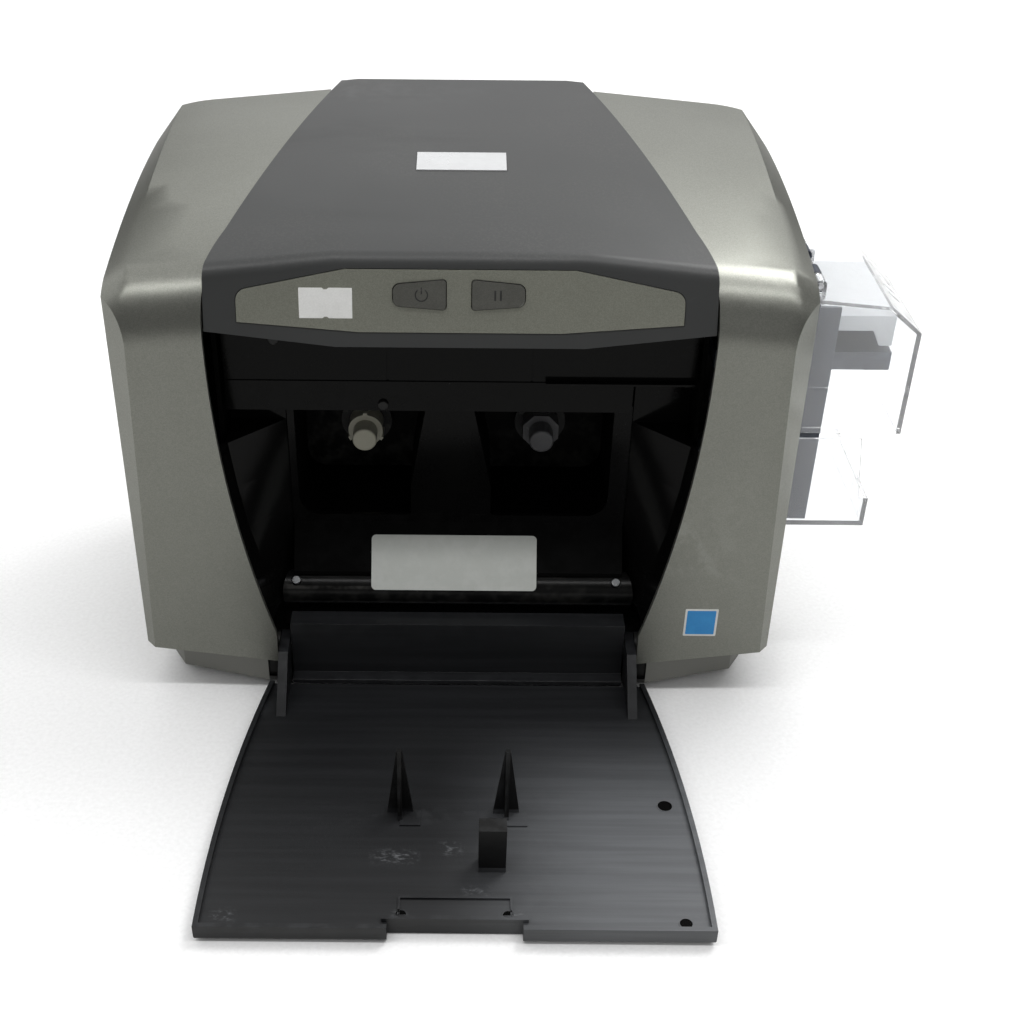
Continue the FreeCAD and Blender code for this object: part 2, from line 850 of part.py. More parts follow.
def make_side_shell():
    """Return the right shell without its hopper cut-out."""
    shell = side_hull(0).cut(side_hull(shell_wall))
    slope_run = bevel_face_bottom - opening_half(0)
    skirt = prism("xz", [
        (0, -overrun),
        (body_half_width + overrun, -overrun),
        (body_half_width + overrun, skirt_outer_height),
        (opening_half(0) + slope_run, skirt_outer_height),
        (opening_half(0), skirt_inner_height),
        (0, skirt_inner_height),
    ], -overrun, shell_depth + overrun)
    shell = shell.cut(skirt)
    shell = shell.cut(opening_cutter(-overrun, opening_wide_height + overrun, -overrun, opening_cut_depth))
    shell = shell.cut(lid_plan(seam_gap, -overrun, opening_wide_height, lid_rear_height + overrun))
    relief_y = lid_hinge_y - lid_relief_length
    relief_x = lid_rear_half_width + (lid_rear_y - relief_y) * lid_plan_slope + seam_gap
    shell = shell.cut(box(0, relief_x, relief_y, shell_depth + overrun, opening_wide_height,
                          lid_rear_height + overrun))
    back_x = rear_panel_half_width + fit_gap
    return shell.cut(prism("xz", [
        (0, -overrun),
        (back_x, -overrun),
        (back_x, roof_height(rear_panel_half_width, rear_panel_y, shell_wall) - seam_gap),
        (lid_rear_half_width, roof_height(lid_rear_half_width, rear_panel_y, shell_wall) - seam_gap),
        (0, rear_panel_top),
    ], rear_panel_y - overrun, shell_depth + overrun))


def make_right_shell():
    """Return the right shell with the cut-out that takes the hopper's sleeve."""
    cut = hopper_cut_inset - fit_gap
    window = box(body_half_width - shell_wall - overrun, body_half_width + overrun,
                 hopper_front_y - fit_gap, hopper_rear_y + fit_gap,
                 hopper_low + cut, hopper_high - cut)
    return make_side_shell().cut(window)


def pan_outline(grow, level):
    """Return the base pan's outline as a wire, grown all round."""
    side = pan_half_width + grow
    corner = pan_corner_half_width + grow
    front = pan_front_y - grow
    back = pan_rear_y + grow
    points = [(pan_mouth_half_width, front), (corner, pan_corner_y - grow), (side, pan_side_y - grow),
              (side, back - pan_rear_chamfer), (side - pan_rear_chamfer, back)]
    ring = points + [(-x, y) for x, y in reversed(points)]
    return Part.makePolygon([Vector(x, y, level) for x, y in ring + [ring[0]]])


def make_base_pan():
    """Return the base pan with its walls, the flange under the shells and the door's hinge lugs."""
    pan = Part.Face(pan_outline(0, pan_bottom)).extrude(Vector(0, 0, pan_top - pan_bottom))
    flange = Part.Face(pan_outline(body_half_width - shell_wall - fit_gap - pan_half_width, pan_wall_top))
    flange = flange.extrude(Vector(0, 0, pan_flange))
    inner_column = corner_column(shell_wall + fit_gap, pan_top)
    flange = flange.common(inner_column.fuse(mirrored(inner_column)))
    flange = flange.common(box(-body_half_width, body_half_width, shell_wall + fit_gap, shell_depth, 0,
                               pan_top))
    flange = flange.cut(bevel_cutter(shell_wall + fit_gap))
    flange = flange.cut(mirrored(bevel_cutter(shell_wall + fit_gap)))
    hollow = Part.Face(pan_outline(-pan_wall, pan_inside)).extrude(Vector(0, 0, pan_top))
    mouth = box(-pan_mouth_half_width, pan_mouth_half_width, -overrun, floor_front_y, pan_inside,
                pan_top + overrun)
    pan = pan.fuse(flange).cut(hollow).cut(mouth)
    lugs = []
    for side in (1, -1):
        low, high = sorted((side * hinge_lug_x, side * (hinge_lug_x + hinge_lug_width)))
        lug = rod("x", door_hinge_y, door_hinge_z, ear_hub_radius, low, high)
        web = box(low, high, door_hinge_y - ear_hub_radius, door_hinge_y + ear_hub_radius,
                  pan_inside, door_hinge_z)
        lug = lug.fuse(web)
        lugs.append(lug.cut(rod("x", door_hinge_y, door_hinge_z, pin_radius + running_gap, low, high)))
    return joined([pan] + lugs)


def make_feet():
    """Return the four rubber feet."""
    return [rod("z", side * foot_x, y, foot_radius, 0, foot_height)
            for side in (1, -1) for y in (foot_front_y, foot_rear_y)]


def lid_section(x, inset, fall, hang):
    """Return the top cover's side profile at one X, set in from its skin; its lip hangs lower by hang."""
    lip_y = lid_lip_y + inset / math.cos(tilt)
    brow_z = lid_brow_height - fall - inset * math.tan(brow_turn)
    brow = Vector(x, lip_y + (brow_z - lid_lip_height) * math.tan(tilt), brow_z)
    roof = lid_radius - inset
    crown_y = lid_crown_y + inset * math.sin(lid_rise)
    crown = Vector(x, crown_y, lid_centre_z + math.sqrt(roof ** 2 - (crown_y - lid_centre_y) ** 2) - fall)
    chord = (crown - brow).Length
    bulge = chord / 2 * math.tan(brow_turn / 2)
    across = Vector(0, -(crown.z - brow.z) / chord, (crown.y - brow.y) / chord)
    knee = (brow + crown) * 0.5 + across * bulge
    back = lid_rear_y - inset
    middle_y = (crown_y + back) / 2
    middle = Vector(x, middle_y, lid_centre_z + math.sqrt(roof ** 2 - (middle_y - lid_centre_y) ** 2) - fall)
    rear = Vector(x, back, lid_centre_z + math.sqrt(roof ** 2 - (back - lid_centre_y) ** 2) - fall)
    base = lid_lip_height - hang - (overrun if inset else 0)
    low = Vector(x, lip_y - (lid_lip_height - base) * math.tan(tilt), base)
    rear_low = Vector(x, back, base)
    return Part.Wire([
        Part.makeLine(low, brow),
        Part.Arc(brow, knee, crown).toShape(),
        Part.Arc(crown, middle, rear).toShape(),
        Part.makeLine(rear, rear_low),
        Part.makeLine(rear_low, low),
    ])


def lid_solid(inset):
    """Return the top cover's filled envelope, set in from its skin."""
    fall = side_fall_share * (lid_side_x - crease_half_width)
    stations = [(-lid_side_x, fall, -lid_lip_end_rise), (-crease_half_width, 0, lid_lip_bow),
                (crease_half_width, 0, lid_lip_bow), (lid_side_x, fall, -lid_lip_end_rise)]
    body = Part.makeLoft([lid_section(x, inset, drop, hang) for x, drop, hang in stations], True, True)
    return body.common(lid_plan(-inset, -overrun, lid_lip_height - 2 * overrun, lid_rear_height + overrun))


def lid_top(y):
    """Return the height of the top cover's middle facet."""
    return lid_centre_z + math.sqrt(lid_radius ** 2 - (y - lid_centre_y) ** 2)


def on_face(x, along, depth):
    """Return a point of the cover's tilted face: along it from the lip, and in from its skin."""
    return Vector(x, lid_lip_y + along * math.sin(tilt) + depth * math.cos(tilt),
                  lid_lip_height + along * math.cos(tilt) - depth * math.sin(tilt))


def panel_wire(depth):
    """Return the control panel's outline at a depth in the tilted face."""
    half = [(panel_base_half_width, panel_bottom, 0), (panel_half_width, panel_side_low, 0),
            (panel_half_width, panel_side_high, panel_corner_radius), (panel_fold_half_width, panel_top, 0)]
    ring = half + [(-x, s, r) for x, s, r in reversed(half)]
    return rounded_wire([on_face(x, s, depth) for x, s, _ in ring], [r for _, _, r in ring])


def button_wire(side, offset, depth):
    """Return a button's outline, narrower towards the outside."""
    ring = [
        (button_inner_x, button_inner_low, button_inner_radius),
        (button_outer_x, button_outer_low, button_outer_radius),
        (button_outer_x, button_outer_high, button_outer_radius),
        (button_inner_x, button_inner_high, button_inner_radius),
    ]
    points = [on_face(side * x + offset, s, depth) for x, s, _ in ring]
    return rounded_wire(points, [r for _, _, r in ring])


def make_plate(gap):
    """Return the small plate's block on the top cover, grown by a gap at its sides."""
    slope = math.asin((lid_centre_y - plate_y) / lid_radius)
    block = Part.makeBox(plate_width + 2 * gap, plate_length + 2 * gap, plate_thickness,
                         Vector(-plate_width / 2 - gap, -plate_length / 2 - gap, -plate_recess))
    block.rotate(Vector(0, 0, 0), Vector(1, 0, 0), math.degrees(slope))
    block.translate(Vector(0, plate_y, lid_top(plate_y)))
    return block


def make_top_cover():
    """Return the top cover with its window for the panel, the plate's recess and the hinge knuckles."""
    shell = lid_solid(0).cut(lid_solid(lid_wall))
    low = lid_lip_height - 2 * overrun
    roof = [(lid_skirt_front_y, low), (lid_skirt_front_y, lid_top(lid_skirt_front_y)), lid_middle,
            (lid_rear_y + overrun, lid_rear_height), (lid_rear_y + overrun, low)]
    lowered = [roof[0]] + [(y, z - lid_skirt_depth) for y, z in roof[1:4]] + [roof[4]]
    shell = shell.cut(prism("yz", lowered, -lid_side_x, lid_side_x))
    window = Part.Face(panel_wire(-overrun)).makeOffset2D(fit_gap)
    shell = shell.cut(window.extrude(face_inward * (overrun + lid_wall + overrun)))
    shell = shell.cut(make_plate(fit_gap / 2))
    knuckles = []
    for side in (1, -1):
        inner = lug_x + lug_width + fit_gap
        low, high = sorted((side * inner, side * (inner + knuckle_width)))
        knuckle = rod("x", lid_hinge_y, lid_hinge_z, lug_radius, low, high)
        web = box(low, high, lid_hinge_y - lug_radius, lid_hinge_y + lug_radius, lid_hinge_z,
                  lid_top(lid_hinge_y - lug_radius) - lid_wall / 2)
        bore = rod("x", lid_hinge_y, lid_hinge_z, pin_radius + running_gap, low, high)
        knuckles.append(knuckle.fuse(web).cut(bore))
    return joined([shell] + knuckles)


def make_control_panel():
    """Return the grey control panel with holes for its two buttons."""
    panel = Part.Face(panel_wire(-panel_proud)).extrude(face_inward * panel_thickness)
    for side, offset in button_sides.values():
        hole = Part.Face(button_wire(side, offset, -overrun)).makeOffset2D(button_gap)
        panel = panel.cut(hole.extrude(face_inward * (overrun + overrun)))
    return panel


def make_button(name):
    """Return one push button, with the stem behind it."""
    side, offset = button_sides[name]
    return Part.Face(button_wire(side, offset,
                                 -button_proud)).extrude(face_inward * (button_proud + button_depth))


def door_half(y):
    """Return half the open door's width at a place along it."""
    centre_y, centre_x, radius = circle_through(
        (door_near_y, door_near_half_width), (door_near_y - door_mid_length, door_mid_half_width),
        (door_far_y, door_far_half_width))
    return centre_x + math.sqrt(radius ** 2 - (y - centre_y) ** 2)


def door_slab(inset, low, high):
    """Return the door's outline, set in from its sides and far edge, as a slab."""
    near = door_near_y
    far = door_far_y + inset
    middle = near - door_mid_length
    right = [Vector(door_half(near) - inset, near, low), Vector(door_half(middle) - inset, middle, low),
             Vector(door_half(far) - inset, far, low)]
    left = [Vector(-point.x, point.y, point.z) for point in right]
    outline = Part.Wire([
        Part.Arc(*right).toShape(),
        Part.makeLine(right[2], left[2]),
        Part.Arc(left[2], left[1], left[0]).toShape(),
        Part.makeLine(left[0], right[0]),
    ])
    return Part.Face(outline).extrude(Vector(0, 0, high - low))


def tapered_web(plane, middle, half_width, level, thickness):
    """Return an upright plate on the door that narrows towards its tip."""
    top = door_floor + pusher_height
    return prism(plane, [(middle - half_width, door_floor), (middle + half_width, door_floor),
                         (middle + pusher_tip / 2, top), (middle - pusher_tip / 2, top)],
                 level - thickness / 2, level + thickness / 2)


def make_front_door():
    """Return the front door with its rim, ears, ribbon pushers, latch post and finger notch."""
    skin = door_slab(0, door_clearance_under, door_inner_height)
    far_edges = [edge for edge in skin.Edges
                 if abs(edge.BoundBox.ZMax - door_clearance_under) < running_gap
                 and edge.BoundBox.YMin < door_near_y - running_gap]
    skin = skin.makeFillet(door_edge_radius, far_edges)
    tray = door_slab(door_rim_width, door_floor, door_inner_height + overrun)
    notch = box(-notch_half_width, notch_half_width, door_far_y - overrun, door_far_y + notch_depth,
                -overrun, door_inner_height + overrun)
    ridge = box(-notch_half_width - door_rim_width, notch_half_width + door_rim_width,
                door_far_y + notch_depth, door_far_y + notch_depth + door_rim_width,
                door_floor, door_inner_height)
    pocket_far = door_far_y + notch_depth + door_rim_width
    pocket = box(-pocket_half_width, pocket_half_width, pocket_far, pocket_far + pocket_length,
                 door_floor, door_floor + pocket_ridge)
    hollow = box(-pocket_half_width + pocket_ridge, pocket_half_width - pocket_ridge, pocket_far,
                 pocket_far + pocket_length - pocket_ridge, door_floor, door_floor + pocket_ridge)
    pieces = [skin.cut(tray).cut(notch), ridge, pocket.cut(hollow)]
    for x in (pusher_left_x, pusher_right_x):
        pieces.append(tapered_web("xz", x, pusher_width / 2, pusher_y, pusher_web))
        pieces.append(tapered_web("yz", pusher_y, pusher_depth / 2, x, pusher_web))
        pieces.append(box(x, x + pusher_pad, pusher_y - pusher_pad, pusher_y, door_floor,
                          door_floor + pusher_pad_height))
    pieces.append(box(latch_post_x - latch_post_width / 2, latch_post_x + latch_post_width / 2,
                      latch_post_y - latch_post_depth / 2, latch_post_y + latch_post_depth / 2,
                      door_floor, door_floor + latch_post_height))
    for side in (1, -1):
        low, high = sorted((side * ear_inner_x, side * (ear_inner_x + ear_width)))
        blade = prism("yz", [
            (ear_reach_y, door_floor), (ear_top_y, ear_top_height),
            (door_hinge_y, door_hinge_z + ear_hub_radius), (door_hinge_y, door_hinge_z - ear_hub_radius),
            (door_near_y, ear_root_height), (ear_reach_y, ear_root_height),
        ], low, high)
        hub = rod("x", door_hinge_y, door_hinge_z, ear_hub_radius, low, high)
        bore = rod("x", door_hinge_y, door_hinge_z, pin_radius + running_gap, low, high)
        pieces.append(blade.fuse(hub).cut(bore))
    return joined(pieces)


def make_threshold():
    """Return the sill between the hinge ears, a bent plate on the pan whose toe reaches to the door."""
    half = ear_inner_x - seam_gap
    back = threshold_y + threshold_thickness
    toe = door_near_y + threshold_toe_gap
    return prism("yz", [
        (toe, pan_inside), (back, pan_inside), (back, threshold_top - threshold_thickness),
        (back + threshold_flange, threshold_top - threshold_thickness),
        (back + threshold_flange, threshold_top),
        (threshold_y, threshold_top), (threshold_y, pan_inside + threshold_thickness),
        (toe, pan_inside + threshold_thickness),
    ], -half, half)


def make_cheek(screen_top):
    """Return the right cheek of the cavity, with the shelf over it and an upright screen up to a height."""
    sections = []
    for share in cheek_level_shares:
        z = cheek_bottom + (cheek_top - cheek_bottom) * share
        front = opening_half(z) + cheek_margin
        turn = cheek_turn_x(z)
        ring = [(front, cheek_front_y), (front + cheek_wall, cheek_front_y),
                (turn + cheek_wall, cheek_turn_y),
                (cheek_back_x + cheek_wall, window_plate_y), (cheek_back_x + cheek_wall, window_plate_back_y),
                (cheek_back_x, window_plate_back_y), (cheek_back_x, window_plate_y), (turn, cheek_turn_y)]
        sections.append(Part.makePolygon([Vector(x, y, z) for x, y in ring + [ring[0]]]))
    front = opening_half(cheek_top) + cheek_margin
    shelf = prism("xy", [
        (front, cheek_front_y), (front + cheek_wall, cheek_front_y), (front + cheek_wall, cheek_turn_y),
        (cheek_shelf_x, cheek_turn_y), (cheek_shelf_x, window_plate_back_y),
        (cheek_back_x, window_plate_back_y),
        (cheek_back_x, window_plate_y), (cheek_turn_x(cheek_top), cheek_turn_y),
    ], cheek_top - cheek_shelf_thickness, cheek_top)
    screen = box(cheek_back_x, cheek_shelf_x, window_plate_y, window_plate_back_y,
                 cheek_top - cheek_shelf_thickness, screen_top)
    return joined([Part.makeLoft(sections, True, True), shelf, screen])


def make_header():
    """Return the upright panel over the windows, which also holds the rollers' front journals.

    Its upper part is set back a little and parted by two seams, and its right end is higher than its left.
    """
    panel = box(-header_half_width, header_half_width, header_y, header_back_y, header_bottom, header_top)
    recess = box(-header_half_width, header_half_width, header_y, header_y + header_step,
                 header_step_height, header_top)
    notch = box(header_notch_x, header_half_width + overrun, header_y - overrun, header_back_y + overrun,
                header_bottom - overrun, header_step_height)
    panel = panel.cut(recess).cut(notch)
    seam_y = header_y + header_step
    for side in (1, -1):
        x = side * header_seam_half_pitch
        panel = panel.cut(box(x - header_seam_width / 2, x + header_seam_width / 2, header_y - overrun,
                              seam_y + header_seam_depth, header_step_height, header_top))
    ledge = box(header_ledge_start, header_half_width, header_y - header_ledge_depth, seam_y,
                header_step_height, header_step_height + header_ledge_thickness)
    panel = panel.fuse(ledge)
    bore = shaft_radius + running_gap
    for x, z in front_journals:
        panel = panel.cut(rod("y", x, z, bore, journal_front_y - running_gap, header_back_y))
    return panel


def window_wire(side, top, level):
    """Return the outline of the left (-1) or right (1) window, up to a height."""
    outer = window_outer_right if side > 0 else window_outer_left
    foot = post_foot_right if side > 0 else post_foot_left
    head = post_top_right if side > 0 else post_top_left
    lean = (head - foot) / (window_plate_top - post_fold_height)
    points = [(outer, top), (outer, window_sill), (foot, window_sill), (foot, post_fold_height),
              (foot + lean * (top - post_fold_height), top)]
    radii = [0, window_corner_radius, bay_wall, 0, 0]
    return rounded_wire([Vector(x, level, z) for x, z in points], radii)


def make_window_plate():
    """Return the upright plate with two windows open at the top and the post between them."""
    half = cheek_back_x - fit_gap
    plate = box(-half, half, window_plate_y, window_plate_back_y, floor_top, window_plate_top)
    for side in (-1, 1):
        window = Part.Face(window_wire(side, window_plate_top + overrun, window_plate_y - overrun))
        plate = plate.cut(window.extrude(Vector(0, window_plate_thickness + 2 * overrun, 0)))
    bearing = rod("y", mech_x, cam_height, shaft_radius + running_gap,
                  window_plate_back_y - journal_depth, window_plate_back_y)
    return plate.cut(bearing)


def make_ribbon_bay(side):
    """Return the trough behind one window, in which a ribbon roll turns."""
    length = rear_bulkhead_y - window_plate_back_y
    inner = Part.Face(window_wire(side, window_plate_top + overrun, window_plate_back_y))
    outer = inner.makeOffset2D(bay_wall)
    trough = outer.extrude(Vector(0, length, 0)).cut(inner.extrude(Vector(0, length, 0)))
    above = box(-cheek_back_x, cheek_back_x, window_plate_back_y - overrun, rear_bulkhead_y + overrun,
                window_plate_top, window_plate_top + 2 * overrun)
    return trough.cut(above)


def make_apron():
    """Return the sloped plate below the windows, bent back over the cross bar."""
    half = cheek_back_x - fit_gap
    run = window_plate_y - apron_crease_y
    fall = apron_top_height - apron_crease_height
    upright = apron_wall * math.hypot(run, fall) / run
    return prism("yz", [
        (window_plate_y, apron_top_height), (apron_crease_y, apron_crease_height),
        (apron_crease_y, apron_crease_height - apron_wall),
        (window_plate_y, apron_crease_height - apron_wall),
        (window_plate_y, apron_crease_height), (apron_crease_y + apron_wall * run / fall,
                                                apron_crease_height),
        (window_plate_y, apron_top_height - upright + apron_wall),
    ], -half, half)


def bar_screw_place(x, distance):
    """Return a point on the line through the cross bar's middle that its screws follow."""
    look = math.radians(screw_look_angle)
    return Vector(x, bar_y - distance * math.cos(look), bar_height + distance * math.sin(look))


def make_cross_bar():
    """Return the rounded bar across the cavity, with a seat for each screw head."""
    low = bar_height - bar_radius
    near = cheek_inner_x(low, bar_y - bar_radius) - fit_gap
    far = cheek_inner_x(low, bar_y + bar_radius) - fit_gap
    bar = rod("x", bar_y, bar_height, bar_radius, -near, near)
    bar = bar.common(prism("xy", [
        (-near, bar_y - bar_radius), (near, bar_y - bar_radius), (far, bar_y + bar_radius),
        (-far, bar_y + bar_radius),
    ], low, bar_height + bar_radius))
    for x in (bar_screw_left_x, bar_screw_right_x):
        seat = bar_screw_place(x, bar_radius - screw_head_height / 2)
        outward = bar_screw_place(x, bar_radius + overrun) - seat
        bar = bar.cut(Part.makeCylinder(screw_head_radius + fit_gap, overrun, seat, outward))
    return bar


def screw_head(seat, outward):
    """Return one round screw head on its seat."""
    head = Part.makeCylinder(screw_head_radius, screw_head_height, seat, outward)
    return head.makeFillet(screw_edge_radius, [head.Edges[0]])


def make_screws():
    """Return all the screw heads: on the header, on the cross bar and on the rear panel."""
    heads = []
    forward = Vector(0, -1, 0)
    heads.append(screw_head(Vector(header_screw_left, header_y + header_step, header_top - header_screw_fall),
                            forward))
    heads.append(screw_head(Vector(header_screw_middle, header_y, header_bottom + header_screw_rise),
                            forward))
    for x in (bar_screw_left_x, bar_screw_right_x):
        seat = bar_screw_place(x, bar_radius - screw_head_height / 2)
        heads.append(screw_head(seat, bar_screw_place(x, bar_radius + overrun) - seat))
    for side in (1, -1):
        for z in (rear_screw_low, rear_screw_high):
            heads.append(screw_head(Vector(side * rear_screw_x, rear_panel_back_y, z), Vector(0, 1, 0)))
    return heads


def make_label():
    """Return the blank label that lies from the apron to the cross bar."""
    run = window_plate_y - apron_crease_y
    fall = apron_top_height - apron_crease_height
    length = math.hypot(run, fall)
    along = Vector(0, run / length, fall / length)
    outward = Vector(0, -fall / length, run / length)
    low = Vector(0, apron_crease_y, apron_crease_height) - along * label_fold_length + outward * label_gap
    corners = []
    for across, up in ((-1, 0), (1, 0), (1, 1), (-1, 1)):
        corners.append(low + Vector(label_x + across * label_width / 2, 0, 0) + along * (up * label_length))
    face = Part.Face(rounded_wire(corners, [label_corner_radius] * len(corners)))
    return face.extrude(outward * label_thickness)


def make_chassis_floor():
    """Return the chassis floor in the pan."""
    return box(-floor_half_width, floor_half_width, floor_front_y, pan_rear_y - pan_wall - fit_gap,
               pan_inside, floor_top)


def make_frame_plate(side):
    """Return one side plate of the chassis, with the slot that cards pass through on the right."""
    low, high = sorted((side * frame_x, side * (frame_x - frame_thickness)))
    plate = box(low, high, header_y, rear_bulkhead_y, floor_top, frame_top)
    slot = box(low - overrun, high + overrun, card_middle_y - card_half_width - sleeve_margin,
               card_middle_y + card_half_width + sleeve_margin,
               card_height - roller_radius, card_height + 2 * roller_radius)
    return plate.cut(slot) if side > 0 else plate


def make_rear_bulkhead():
    """Return the steel plate that carries the spindles and the rollers' rear journals."""
    plate = box(rear_bulkhead_left, rear_bulkhead_right, rear_bulkhead_y, bulkhead_back_y, floor_top,
                rear_bulkhead_top)
    places = front_journals + [(pick_x, upper_axis_z), (idler_x, drive_axis_z), (mech_x, cam_height),
                               (takeup_x, spindle_height), (supply_x, spindle_height)]
    for x, z in places:
        plate = plate.cut(rod("y", x, z, shaft_radius + running_gap, rear_bulkhead_y - overrun,
                              bulkhead_back_y + overrun))
    return plate


def make_gear_plate():
    """Return the plate behind the gears, on its four standoffs."""
    plate = box(gear_plate_left, gear_plate_right, gear_plate_y, gear_plate_back_y,
                gear_plate_bottom, gear_plate_top)
    for x, z, radius in ((takeup_x, spindle_height, shaft_radius), (supply_x, spindle_height, shaft_radius),
                         (mech_x, cam_height, shaft_radius), (mech_x, motor_axis_z, motor_shaft_radius),
                         (ribbon_motor_x, ribbon_motor_z, pinion_shaft_radius),
                         (mech_x, cam_motor_z, pinion_shaft_radius)):
        plate = plate.cut(rod("y", x, z, radius + running_gap, gear_plate_y - overrun,
                              gear_plate_back_y + overrun))
    pieces = [plate]
    for x in (gear_plate_left + standoff_inset, gear_plate_right - standoff_inset):
        for z in (gear_plate_bottom + standoff_inset, gear_plate_top - standoff_top_inset):
            pieces.append(rod("y", x, z, standoff_radius, bulkhead_back_y, gear_plate_y))
    return joined(pieces)


def spindle_core(x):
    """Return the shaft, flange and tip that both ribbon spindles share."""
    pieces = [
        rod("y", x, spindle_height, spindle_tip_radius, spindle_tip_y, spindle_step_y),
        rod("y", x, spindle_height, shaft_radius, spindle_step_y, gear_plate_back_y),
        rod("y", x, spindle_height, spindle_flange_radius,
            rear_bulkhead_y - seam_gap - spindle_flange_width, rear_bulkhead_y - seam_gap),
    ]
    return pieces


def make_takeup_spindle():
    """Return the round take-up spindle with its drive ribs."""
    back = rear_bulkhead_y - seam_gap
    pieces = spindle_core(takeup_x)
    pieces.append(rod("y", takeup_x, spindle_height, spindle_radius - spindle_rib, spindle_step_y, back))
    for index in range(spindle_rib_count):
        rib = box(-spindle_rib, spindle_rib, spindle_step_y, back, 0, spindle_radius)
        rib.rotate(Vector(0, 0, 0), Vector(0, 1, 0), index * 360 / spindle_rib_count)
        rib.translate(Vector(takeup_x, 0, spindle_height))
        pieces.append(rib)
    spindle = joined(pieces)
    tip_ring = [edge for edge in spindle.Edges if edge.BoundBox.YMax < spindle_tip_y + running_gap]
    return spindle.makeFillet(spindle_rib, tip_ring)


def make_supply_spindle():
    """Return the supply spindle, eight-sided behind its round tip."""
    back = rear_bulkhead_y - seam_gap
    pieces = spindle_core(supply_x)
    corners = []
    for index in range(spindle_side_count):
        angle = math.radians((index + 0.5) * 360 / spindle_side_count)
        corners.append((supply_x + spindle_radius * math.cos(angle),
                        spindle_height + spindle_radius * math.sin(angle)))
    pieces.append(prism("xz", corners, spindle_step_y, back))
    spindle = joined(pieces)
    tip_ring = [edge for edge in spindle.Edges if edge.BoundBox.YMax < spindle_tip_y + running_gap]
    return spindle.makeFillet(spindle_rib, tip_ring)


def gear_wheel(x, z, teeth, tooth_angle, bore):
    """Return a spur gear in the gear plane with one tooth pointing at an angle in degrees."""
    pitch = gear_module * teeth / 2
    root = pitch - gear_module * tooth_dedendum_share
    tip = pitch + gear_module * tooth_addendum_share
    step = 360 / teeth
    outline = []
    for index in range(teeth):
        middle = tooth_angle + index * step
        for radius, share in ((root, -tooth_root_half_share), (tip, -tooth_tip_half_share),
                              (tip, tooth_tip_half_share), (root, tooth_root_half_share)):
            angle = math.radians(middle + share * step)
            outline.append((x + radius * math.cos(angle), z + radius * math.sin(angle)))
    wheel = prism("xz", outline, gear_y, gear_y + gear_width)
    if bore == 0:
        return wheel
    return wheel.cut(rod("y", x, z, bore, gear_y - overrun, gear_y + gear_width + overrun))


def make_pinion(x, z, tooth_angle):
    """Return a motor pinion on its own thin shaft."""
    wheel = gear_wheel(x, z, pinion_teeth, tooth_angle, 0)
    hub = rod("y", x, z, pinion_hub_radius, gear_y + gear_width, gear_plate_y - seam_gap)
    shaft = rod("y", x, z, pinion_shaft_radius, gear_y, gear_plate_back_y + journal_depth)
    return joined([wheel, hub, shaft])


def round_motor(x, z, radius):
    """Return a small round motor behind the gear plate, with a blind bore for the pinion's shaft."""
    body = rod("y", x, z, radius, gear_plate_back_y, gear_plate_back_y + ribbon_motor_length)
    cap = rod("y", x, z, radius * motor_cap_share, gear_plate_back_y + ribbon_motor_length,
              gear_plate_back_y + ribbon_motor_length + motor_cap_length)
    bore = rod("y", x, z, pinion_shaft_radius + running_gap, gear_plate_back_y,
               gear_plate_back_y + journal_depth + running_gap)
    return body.fuse(cap).removeSplitter().cut(bore)


def make_lift_cam():
    """Return the cam shaft with its two cams and its gear."""
    pieces = [
        rod("y", mech_x, cam_height, shaft_radius, window_plate_back_y - journal_depth + running_gap,
            gear_plate_back_y),
        gear_wheel(mech_x, cam_height, cam_teeth, cam_tooth_angle, 0),
    ]
    outline = []
    for step in range(cam_steps):
        turned = step * 360 / cam_steps
        share = turned / cam_rise_angle
        if turned > cam_rise_angle:
            share = max(0, 1 - (turned - cam_rise_angle) / cam_fall_angle)
        radius = cam_low_radius + head_lift * share
        angle = math.radians(cam_start_angle + turned)
        outline.append((mech_x + radius * math.cos(angle), cam_height + radius * math.sin(angle)))
    for y in (cam_front_y, cam_rear_y):
        pieces.append(prism("xz", outline, y - cam_width / 2, y + cam_width / 2))
    return joined(pieces)


def make_head_carrier():
    """Return the print head's carrier, which slides up and down between the two plates."""
    base = cam_height + cam_low_radius + head_lift + 2 * follower_gap
    top = head_seat_z - heatsink_height
    front = window_plate_back_y + carrier_clearance
    back = rear_bulkhead_y - carrier_clearance
    frame = box(mech_x - carrier_half_width, mech_x + carrier_half_width, front, back, base, top)
    window = box(mech_x - carrier_half_width - overrun, mech_x + carrier_half_width + overrun,
                 front + carrier_wall, back - carrier_wall, base + carrier_wall, top - carrier_wall)
    pieces = [frame.cut(window)]
    for y in (cam_front_y, cam_rear_y):
        pieces.append(box(mech_x - follower_width / 2, mech_x + follower_width / 2, y - follower_length / 2,
                          y + follower_length / 2, cam_height + cam_low_radius + follower_gap, base))
    return joined(pieces)


def make_print_head():
    """Return the heatsink with the head strip and its heating bead on top."""
    front = card_middle_y - card_half_width + rail_bite + running_gap
    back = card_middle_y + card_half_width - rail_bite - running_gap
    pieces = [
        box(mech_x - heatsink_half_width, mech_x + heatsink_half_width, front, back,
            head_seat_z - heatsink_height, head_seat_z),
        box(mech_x - head_half_width, mech_x + head_half_width, front, back, head_seat_z,
            head_seat_z + head_thickness),
        box(mech_x - head_bead, mech_x + head_bead, front, back, head_seat_z + head_thickness, head_top_z),
    ]
    block = joined(pieces)
    for side in (1, -1):
        inner = mech_x + side * (heatsink_half_width - heatsink_fin)
        low, high = sorted((inner, mech_x + side * heatsink_half_width))
        for index in range(heatsink_slot_count):
            z = head_seat_z - heatsink_height + heatsink_fin * (1 + 2 * index)
            block = block.cut(box(low, high, front, back, z, z + heatsink_fin))
    return block


